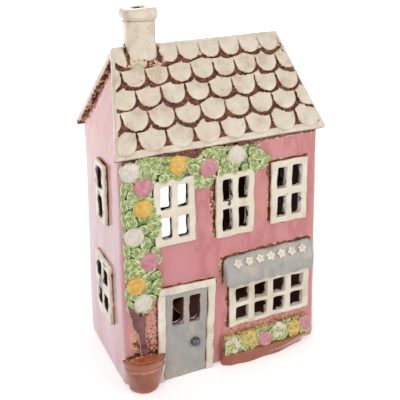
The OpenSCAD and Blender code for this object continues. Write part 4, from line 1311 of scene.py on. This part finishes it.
class HOUSE_OT_rose(Operator):
    """Grow the climbing rose: mat, leaves, blooms and stem"""

    bl_idname = "tealight_house.rose"
    bl_label = "Climbing rose"

    def execute(self, context):
        self.mat()
        self.leaves(context.scene.house_rose)
        for colour, shares in ROSES.items():
            shape = (2.6, 1.7, 0.22) if colour == "white" else (3.0, 2.0, 0.3)
            places = [(x * SIDE_HALF, y * EAVE_Z, 1.5) for x, y in shares]
            mesh = grown("ring", points_mesh(*places), rose_mesh(ROSE_R, *shape), f"rose_{colour}",
                         Count=3, Out=0.0, Turn=3.0, Seed=9)
            welded(mesh, 0.0005)
            mesh.transform(FRONT)
            wobbled(mesh, 0.5, 5.0, 44)
            piece(f"rose_blooms_{colour}", mesh, f"rose_{colour}", (f"roses_{colour}",))
        self.stem()
        return {"FINISHED"}

    def mat(self):
        mesh = clay_copy("rose_mat", 3, FACES, 0.8, 4.0, 40)
        roughened(mesh, 0.5, 2.0)
        local = laid_flat(coordinates(mesh), FRONT)
        beyond = np.maximum(local[:, :2] @ TIP_ACROSS - TIP_REACH, 0)
        local[:, :2] -= 0.94 * beyond[:, None] * TIP_ACROSS
        put_coordinates(mesh, transformed(local, FRONT))
        x, y, z = local.T
        top = under_eaves(x, y + 1.2)
        # Painted shade: the mat between the leaves is a deeper green, less of it on the right
        deep = rises(x, -63.0, 1.5) * (1 - 0.7 * rises(x, 21.0, 5.0))
        lobes = 0.5 + 0.5 * np.cos(y * (2 * math.pi / 5.5) + 1.5 * np.sin(y / 9.0))
        put_attribute(mesh, "rust", np.maximum(falls(z, 0.9, 0.8) * 0.75, top))
        put_attribute(mesh, "inside", 0.8 * deep * (1 - top))
        put_attribute(mesh, "accent", 0.75 * falls(x, -61.5, 1.5) * lobes)
        put_coordinates(mesh, round_corners(coordinates(mesh)))
        piece("rose_green_mat", mesh, "leaf", ("rose_mat",))

    def leaves(self, given):
        ground = face_part("rose_mat", FRONT)
        cut_off(ground, (SCATTER_LEFT, 0, 0), (-1, 0, 0))
        cut_off(ground, (*((TIP_REACH - 2.4) * TIP_ACROSS), 0), (*TIP_ACROSS, 0))
        level = coordinates(ground)[:, 2].mean()
        column = grown("row", points_mesh(), leaf_mesh(9.6, 5.4, 1.3), "leaf",
                       Count=10, First=(-62.6, 56.0, level), Step=(0.0, 8.9, 0.0), Turn=(0.1, 0.1, 0.3),
                       Least_size=(0.9, 0.92, 0.9), Most_size=(1.1, 1.08, 1.1), Seed=given.seed)
        mesh = grown("scatter", ground, leaf_mesh(7.8, 6.0, 1.5), "leaf", Apart=given.leaf_apart / MM,
                     Per_area=0.8, Tilt=0.3, Least_size=0.7, Most_size=1.15, Seed=given.seed)
        mesh = joined([mesh, column])
        co = coordinates(mesh)
        top = under_eaves(co[:, 0], co[:, 1])
        put_attribute(mesh, "rust", top)
        for name in ("inside", "accent"):
            put_attribute(mesh, name, get_attribute(mesh, name) * (1 - top))
        mesh.transform(FRONT)
        put_coordinates(mesh, round_corners(coordinates(mesh)))
        piece("rose_leaf_tufts", mesh, "leaf", ("rose_leaves",))

    def stem(self):
        mesh = clay_copy("rose_stem", 5, SMALL_FACES, 0.7, 5.0, 45)
        local = laid_flat(coordinates(mesh), FRONT)
        grain = np.array([noise.noise(Vector((p[0] / 0.9, p[1] / 6.0, 0.0))) for p in local])
        put_coordinates(mesh, coordinates(mesh) + normals(mesh) * (0.3 * grain)[:, None])
        # The trunk's sides are paler: the glaze breaking on its edges, and also a painted highlight
        aside = np.abs(normals(mesh)[:, 0])
        put_attribute(mesh, "accent", 0.85 * rises(aside, 0.62, 0.2) * rises(local[:, 2], 0.3, 0.5))
        piece("rose_trunk", mesh, "bark", ("rose_stem",))


# ---- pot and window box ----

# The pot's middle along and behind the front wall, and where its rim's outer side begins
POT_X, POT_IN, POT_RIM_R = -54.47, 1.5, 10.4


def from_pot(co):
    """How far points lie from the pot's middle: to the right, to the back, and straight."""
    x, y = co[:, 0] - POT_X, co[:, 1] + FRONT_HALF - POT_IN
    return x, y, np.hypot(x, y)


def spread_pot(mesh, co, push):
    """Moves points away from the pot's middle by a share of their distance from it."""
    x, y, _ = from_pot(co)
    co[:, 0] += x * push
    co[:, 1] += y * push
    put_coordinates(mesh, co)


class HOUSE_OT_pot(Operator):
    """Make the plant pot with its rim and soil"""

    bl_idname = "tealight_house.pot"
    bl_label = "Plant pot"

    def execute(self, context):
        mesh = softened(cad_mesh("pot"), SMALL_FACES, 6)
        co = coordinates(mesh)
        push = 1.3 * rises(co[:, 2], 1.0, 14.0) - 0.6 * falls(co[:, 2], 2.5, 2.5)
        spread_pot(mesh, co, push / np.maximum(from_pot(co)[2], 1.0))
        wobbled(mesh, 0.4, 9.0, 50)
        put_attribute(mesh, "rust", near(co[:, 2].max() - co[:, 2], 1.5) * 0.5)
        piece("plant_pot_body", mesh, "terracotta", ("pot",))

        mesh = softened(cad_mesh("pot_rim"), SMALL_FACES, 4)
        co = coordinates(mesh)
        out = np.maximum(from_pot(co)[2], 1.0)
        push = np.where(out > POT_RIM_R, 0.5 + 0.5 * np.exp(-(((co[:, 2] - 17.4) / 0.9) ** 2)), 0.0) / out
        spread_pot(mesh, co, push)
        # Painted highlight: a pale line round the lower edge of the rim's outer side
        pale = np.exp(-(((co[:, 2] - 17.2) / 0.5) ** 2)) * (out > POT_RIM_R)
        self.settle(mesh, co)
        inner = from_pot(co)[2]
        put_attribute(mesh, "accent", 0.75 * pale)
        put_attribute(mesh, "rust", falls(inner, 12.2, 1.5) * rises(co[:, 2], 21.5, 1.0) * 0.4)
        piece("plant_pot_rim", mesh, "terracotta", ("pot_rim",))

        mesh = softened(cad_mesh("pot_soil"), SMALL_FACES, 3)
        self.settle(mesh, coordinates(mesh))
        co = coordinates(mesh)
        co[:, 2] += 1.1 * rises(co[:, 2], 20.0, 1.5)
        middle = (POT_X, POT_IN - FRONT_HALF)
        co[:, :2] = (co[:, :2] - middle) * 1.05 + middle
        put_coordinates(mesh, co)
        roughened(mesh, 0.5, 1.5)
        put_attribute(mesh, "rust", 0.12 + 0.5 * near(-FRONT_HALF - 1.0 - co[:, 1], 4.0))
        piece("plant_pot_soil", mesh, "soil", ("pot_soil",))
        return {"FINISHED"}

    def settle(self, mesh, co):
        """Lets the rim and the soil sag, most on the right."""
        co[:, 2] -= 2.2 * rises(co[:, 0] - POT_X, 1.0, 12.0) + 0.8 * falls(co[:, 0], POT_X - 8.0, 5.0)
        put_coordinates(mesh, co)
        wobbled(mesh, 0.4, 9.0, 50)


# The trough's middle, width, height, how far it stands out and by how much its front bows
BOX_X, BOX_W, BOX_H, BOX_OUT, BOX_BOW = 27.1, 63.0, 8.5, 8.6, 1.4
BOX_R = (BOX_W**2 / 4 + BOX_BOW**2) / (2 * BOX_BOW)
FOLIAGE_H, FOLIAGE_DRAW = 11.0, 0.34 * BOX_OUT
FOLIAGE_R = BOX_R - 0.28 * BOX_OUT
# Each flower: its share of the way round the foliage and up it, and its colour
FLOWERS = [(-0.8, 0.44, "white"), (-0.42, 0.62, "yellow"), (-0.09, 0.36, "pink"), (0.24, 0.65, "white"),
           (0.6, 0.46, "yellow"), (0.88, 0.6, "pink")]


def foliage_matrix(turn, rise):
    """Onto the foliage's outer face, at a share of the way round it and up it."""
    angle = math.asin(BOX_W / 2 / BOX_R)
    return (
        Matrix.Translation((BOX_X, -FRONT_HALF + BOX_R - BOX_OUT, BOX_H))
        @ Matrix.Rotation(turn * angle, 4, "Z")
        @ Matrix.Translation((0, -FOLIAGE_R + rise * FOLIAGE_DRAW, rise * FOLIAGE_H))
        @ Matrix.Rotation(math.pi / 2 - math.atan(FOLIAGE_DRAW / FOLIAGE_H), 4, "X")
    )


class HOUSE_OT_window_box(Operator):
    """Make the window box, its foliage and its flowers"""

    bl_idname = "tealight_house.window_box"
    bl_label = "Window box"

    def execute(self, context):
        self.trough()
        self.foliage()
        self.flowers()
        return {"FINISHED"}

    def trough(self):
        mesh = softened(cad_mesh("window_box"), FACES, 5)
        co = coordinates(mesh)
        x, y, z = co.T.copy()
        to_end = np.minimum(x - (BOX_X - BOX_W / 2), BOX_X + BOX_W / 2 - x)
        bend = 2.6 * np.maximum(1 - to_end / 7.0, 0.0) ** 2 * falls(y, -FRONT_HALF, 5.0)
        tuck = rises(x - BOX_X - BOX_W / 2, -26.0, 26.0) * near(z, BOX_H + 1.5)
        co[:, 1] += bend + 4.4 * tuck * falls(y, -FRONT_HALF, 6.0)
        put_coordinates(mesh, co)
        wobbled(mesh, 0.6, 10.0, 60)
        put_attribute(mesh, "rust", near(np.abs(z - BOX_H), 0.8) * 0.3)
        # Painted highlight: a paler band across the trough's bulging front, growing to the right
        put_attribute(mesh, "accent", 0.5 * near(np.abs(z - 4.2), 3.0) * rises(x - BOX_X, -20, 30))
        piece("window_box_trough", mesh, "terracotta", ("window_box",))

    def foliage(self):
        mesh = clay_copy("box_foliage", 4, FACES, 1.0, 3.2, 61)
        roughened(mesh, 0.7, 2.2)
        height = coordinates(mesh)[:, 2] - BOX_H
        high = rises(height - 0.72 * FOLIAGE_H, 0, 3.0)
        put_attribute(mesh, "rust", np.maximum(0.36 * near(height, 1.0), 0.42 * high))
        put_attribute(mesh, "accent", np.zeros(len(height)))
        put_attribute(mesh, "inside", np.full(len(height), 0.22))
        tilt = foliage_matrix(0.0, 0.0)
        face = face_part("box_foliage", tilt, 0.8)
        cut_off(face, (0, FOLIAGE_H - 2.0, 0), (0, 1, 0))
        cut_off(face, (0, 1.6, 0), (0, -1, 0))
        tufts = grown("scatter", face, leaf_mesh(5.2, 3.8, 1.0, 12), "leaf", Apart=2.6, Per_area=1.0, Tilt=0.25,
                      Least_size=0.75, Most_size=1.15, Seed=12)
        tufts.transform(tilt)
        piece("box_green_bed", joined([mesh, tufts]), "leaf", ("box_foliage",))

    def flowers(self):
        made = {"white": [], "yellow": [], "pink": []}
        eyes = []
        for i, (turn, rise, colour) in enumerate(FLOWERS):
            if colour == "pink":
                flower = rose_mesh(5.0, 1.9, 1.9, 0.4, 16, 36)
            else:
                width, count = {"white": (4.9, 5), "yellow": (3.7, 6)}[colour]
                shape = petal(4.5, width, 0.5, 0.9, -0.25)
                flower = grown("ring", points_mesh((0, 0, 0)), shape, f"rose_{colour}",
                               Count=count, Out=0.8, Turn=0.0, Seed=i)
            eye = dome(1.25, 1.6 if colour == "pink" else 1.9, 16, 0.2, 0.5)
            put_attribute(eye, "accent", np.zeros(len(eye.vertices)))
            flower.transform(Matrix.Rotation(0.5 * i, 4, "Z"))
            for part in (flower, eye):
                part.transform(foliage_matrix(turn, rise))
            made[colour].append(flower)
            eyes.append(eye)
        for colour, flowers in made.items():
            mesh = wobbled(joined(flowers), 0.3, 3.0, 62)
            piece(f"box_{colour}_flowers", mesh, f"rose_{colour}", (f"box_flowers_{colour}",))
        piece("box_flower_hearts", joined(eyes), "rose_yellow", ("box_flower_eyes",))


# ---- tealight ----

FLOOR_T = 5.0
# Folds round the cup, and the wick's core, how far its strands stand out and how tightly they are wound
CRIMPS, CRIMP_DEPTH = 64, 0.10
WICK_R, STRAND, WOUND = 0.66, 0.16, 26


class HOUSE_OT_tealight(Operator):
    """Make the tealight: crimped cup, wax, wick tab and wick"""

    bl_idname = "tealight_house.tealight"
    bl_label = "Tealight"

    def execute(self, context):
        outer = [(0.0, 0.0), (16.5, 0.0), (18.2, 0.3), (18.7, 1.3), (18.6, 2.2), (18.4, 4.0), (18.5, 12.5),
                 (18.6, 14.8), (18.95, 15.4), (18.95, 15.9), (18.6, 16.0), (18.2, 15.6), (18.1, 12.0), (18.0, 3.0),
                 (17.0, 0.9), (0.0, 0.8)]
        mesh = ring_mesh("cup", [(r, z + FLOOR_T) for r, z in spline(outer, 3)], 256, self.crimp)
        piece("tealight_tin_cup", mesh, "tin", ("tealight_cup",), TEALIGHT)

        low, high = self.span("tealight_wax")
        wax = [(0.0, low + 0.1), (16.8, low + 0.1), (17.7, low + 1.2), (17.95, high - 0.2), (17.6, high - 0.5),
               (16.5, high - 0.9), (8.0, high - 0.75), (3.0, high - 0.9), (1.3, high - 0.5), (0.0, high - 0.35)]
        mesh = wobbled(ring_mesh("wax", spline(wax, 4), 96), 0.12, 6.0, 70)
        piece("tealight_wax_fill", mesh, "wax", ("tealight_wax",), TEALIGHT)

        low, _ = self.span("tealight_tab")
        tab = [(0.0, low), (5.6, low), (5.95, low + 0.15), (5.6, low + 0.45), (4.4, low + 0.3), (3.2, low + 0.32),
               (1.8, low + 0.5), (0.0, low + 0.5)]
        piece("tealight_wick_tab", ring_mesh("tab", tab, 48), "tin", ("tealight_tab",), TEALIGHT)

        low, high = self.span("tealight_wick")
        n, rows = 18, 60
        points = []
        for j in range(rows + 1):
            v = j / rows
            for i in range(n):
                a = 2 * math.pi * i / n
                r = WICK_R + STRAND * abs(math.cos(1.5 * (a + WOUND * v))) - (0.3 * max(0, v - 0.97) / 0.03)
                points.append((r * math.cos(a), r * math.sin(a), low + (high - low) * v))
        faces = grid_faces(rows, n, closed=True) + [tuple(range(n))[::-1], tuple(range(rows * n, rows * n + n))]
        piece("tealight_cotton_wick", mesh_of("wick", points, faces), "wick", ("tealight_wick",), TEALIGHT)
        return {"FINISHED"}

    def crimp(self, i, angle):
        """The folds of the cup's side, from one of its profile's points to another."""
        return 0.0 if i < 3 or i > 40 else CRIMP_DEPTH * math.cos(CRIMPS * angle)

    def span(self, node):
        """The height of a node's lowest and highest point."""
        low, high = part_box(node)
        return low.z / MM, high.z / MM


# ---- stage ----

# The camera's place in millimetres and its turns in radians, then its focal length, frame and shift in pixels
# and the width of its film in millimetres
CAMERA_AT, YAW, PITCH_DOWN, ROLL = (-167.0, -362.65, 277.6), 0.433, 0.372, -0.008
FOCAL_PX, FRAME_PX, SHIFT_PX, FILM_W = 701.2, 400.0, 40.0, 36.0
LAMPS_LOOK_AT = Vector((0, 0, 0.09))


class HOUSE_OT_stage(Operator):
    """Set up the floor, the lamps, the room light and the camera"""

    bl_idname = "tealight_house.stage"
    bl_label = "Stage"

    def execute(self, context):
        given, scene = context.scene.house_stage, context.scene
        scene.view_settings.view_transform = "Standard"
        self.floor(scene)
        self.world(scene, given.sky)
        for name, at, size, power in (
            ("key", (-0.85, -0.75, 0.95), 0.9, given.key),
            ("fill", (0.75, -1.1, 0.55), 1.1, given.fill),
            ("rear", (0.2, 1.2, 0.9), 1.0, given.fill * 0.8),
        ):
            lamp = bpy.data.lights.new(name, "AREA")
            lamp.size, lamp.energy = size, power
            obj = bpy.data.objects.new(name, lamp)
            scene.collection.objects.link(obj)
            obj.location = at
            obj.rotation_euler = (LAMPS_LOOK_AT - Vector(at)).to_track_quat("-Z", "Y").to_euler()
        self.camera(scene)
        return {"FINISHED"}

    def floor(self, scene):
        mesh = mesh_of("floor", [(-9, -9, 0), (9, -9, 0), (9, 9, 0), (-9, 9, 0)], [(0, 1, 2, 3)])
        material = bpy.data.materials.new("Pale floor")
        material.use_nodes = True
        t = Tree(material.node_tree)
        t.tree.nodes.clear()
        where = t.add("ShaderNodeTexCoord").outputs["Object"]
        tone = t.ramp(t.noise(where, 0.25, 3.0), [(0.3, (0.86, 0.86, 0.86)), (0.7, (0.90, 0.90, 0.90))])
        matt = t.add("ShaderNodeBsdfDiffuse", {"Color": tone}).outputs[0]
        direct = t.seen_directly()
        away = t.add("ShaderNodeVectorMath", {0: where}, operation="LENGTH").outputs["Value"]
        level = t.add("ShaderNodeMapRange", {
            "Value": away, "From Min": 0.15, "From Max": 0.7, "To Min": 0.32, "To Max": 1.0}).outputs["Result"]
        strength = t.math("MULTIPLY", direct, level)
        glow = t.add("ShaderNodeEmission", {"Color": (1, 1, 1, 1), "Strength": strength}).outputs[0]
        both = t.add("ShaderNodeAddShader", {0: matt, 1: glow}).outputs[0]
        t.add("ShaderNodeOutputMaterial", {"Surface": both})
        mesh.materials.append(material)
        floor = bpy.data.objects.new("floor", mesh)
        scene.collection.objects.link(floor)

    def world(self, scene, strength):
        world = bpy.data.worlds.new("Room")
        world.use_nodes = True
        t = Tree(world.node_tree)
        t.tree.nodes.clear()
        level = t.math("MULTIPLY_ADD", t.seen_directly(), 1.0 - strength, strength)
        sky = t.add("ShaderNodeBackground", {"Color": (1, 1, 1, 1), "Strength": level}).outputs[0]
        t.add("ShaderNodeOutputWorld", {"Surface": sky})
        scene.world = world

    def camera(self, scene):
        flat = math.cos(PITCH_DOWN)
        forward = Vector((math.sin(YAW) * flat, math.cos(YAW) * flat, -math.sin(PITCH_DOWN)))
        right = Vector((math.cos(YAW), -math.sin(YAW), 0))
        up = right.cross(forward)
        turned = right * math.cos(ROLL) + up * math.sin(ROLL)
        up = up * math.cos(ROLL) - right * math.sin(ROLL)
        lens = bpy.data.cameras.new("camera")
        lens.sensor_width = FILM_W
        lens.lens = FOCAL_PX * FILM_W / FRAME_PX
        lens.shift_y = -SHIFT_PX / FRAME_PX
        camera = bpy.data.objects.new("camera", lens)
        scene.collection.objects.link(camera)
        place = Matrix((turned, up, -forward)).transposed().to_4x4()
        place.translation = Vector(CAMERA_AT) * MM
        camera.matrix_world = place
        scene.camera = camera


OPERATORS = (HOUSE_OT_walls, HOUSE_OT_roof, HOUSE_OT_tiles, HOUSE_OT_chimney, HOUSE_OT_windows, HOUSE_OT_door,
             HOUSE_OT_awning, HOUSE_OT_rose, HOUSE_OT_pot, HOUSE_OT_window_box, HOUSE_OT_tealight, HOUSE_OT_stage)


class HOUSE_PT_panel(Panel):
    """The pieces of the tealight house"""

    bl_idname = "HOUSE_PT_panel"
    bl_label = "Tealight house"
    bl_space_type = "VIEW_3D"
    bl_region_type = "UI"
    bl_category = "Tealight house"

    def draw(self, context):
        layout, scene = self.layout, context.scene
        for label in SETTINGS:
            box = layout.box()
            group = getattr(scene, label)
            for prop in group.bl_rna.properties:
                if prop.identifier not in ("rna_type", "name"):
                    box.prop(group, prop.identifier)
        for operator in OPERATORS:
            layout.operator(operator.bl_idname)


SETTINGS = {
    "house_glazes": HouseGlazes,
    "house_clay": HouseClay,
    "house_tiles": HouseTiles,
    "house_rose": HouseRose,
    "house_stage": HouseStage,
}
CLASSES = (*SETTINGS.values(), *OPERATORS, HOUSE_PT_panel)


def register():
    for cls in CLASSES:
        bpy.utils.register_class(cls)
    for label, cls in SETTINGS.items():
        setattr(bpy.types.Scene, label, PointerProperty(type=cls))


def unregister():
    for label in SETTINGS:
        delattr(bpy.types.Scene, label)
    for cls in reversed(CLASSES):
        bpy.utils.unregister_class(cls)


def main():
    noise.seed_set(NOISE_SEED)
    register()
    for operator in OPERATORS:
        getattr(bpy.ops.tealight_house, operator.bl_idname.split(".")[1])()


if __name__ == "__main__":
    main()
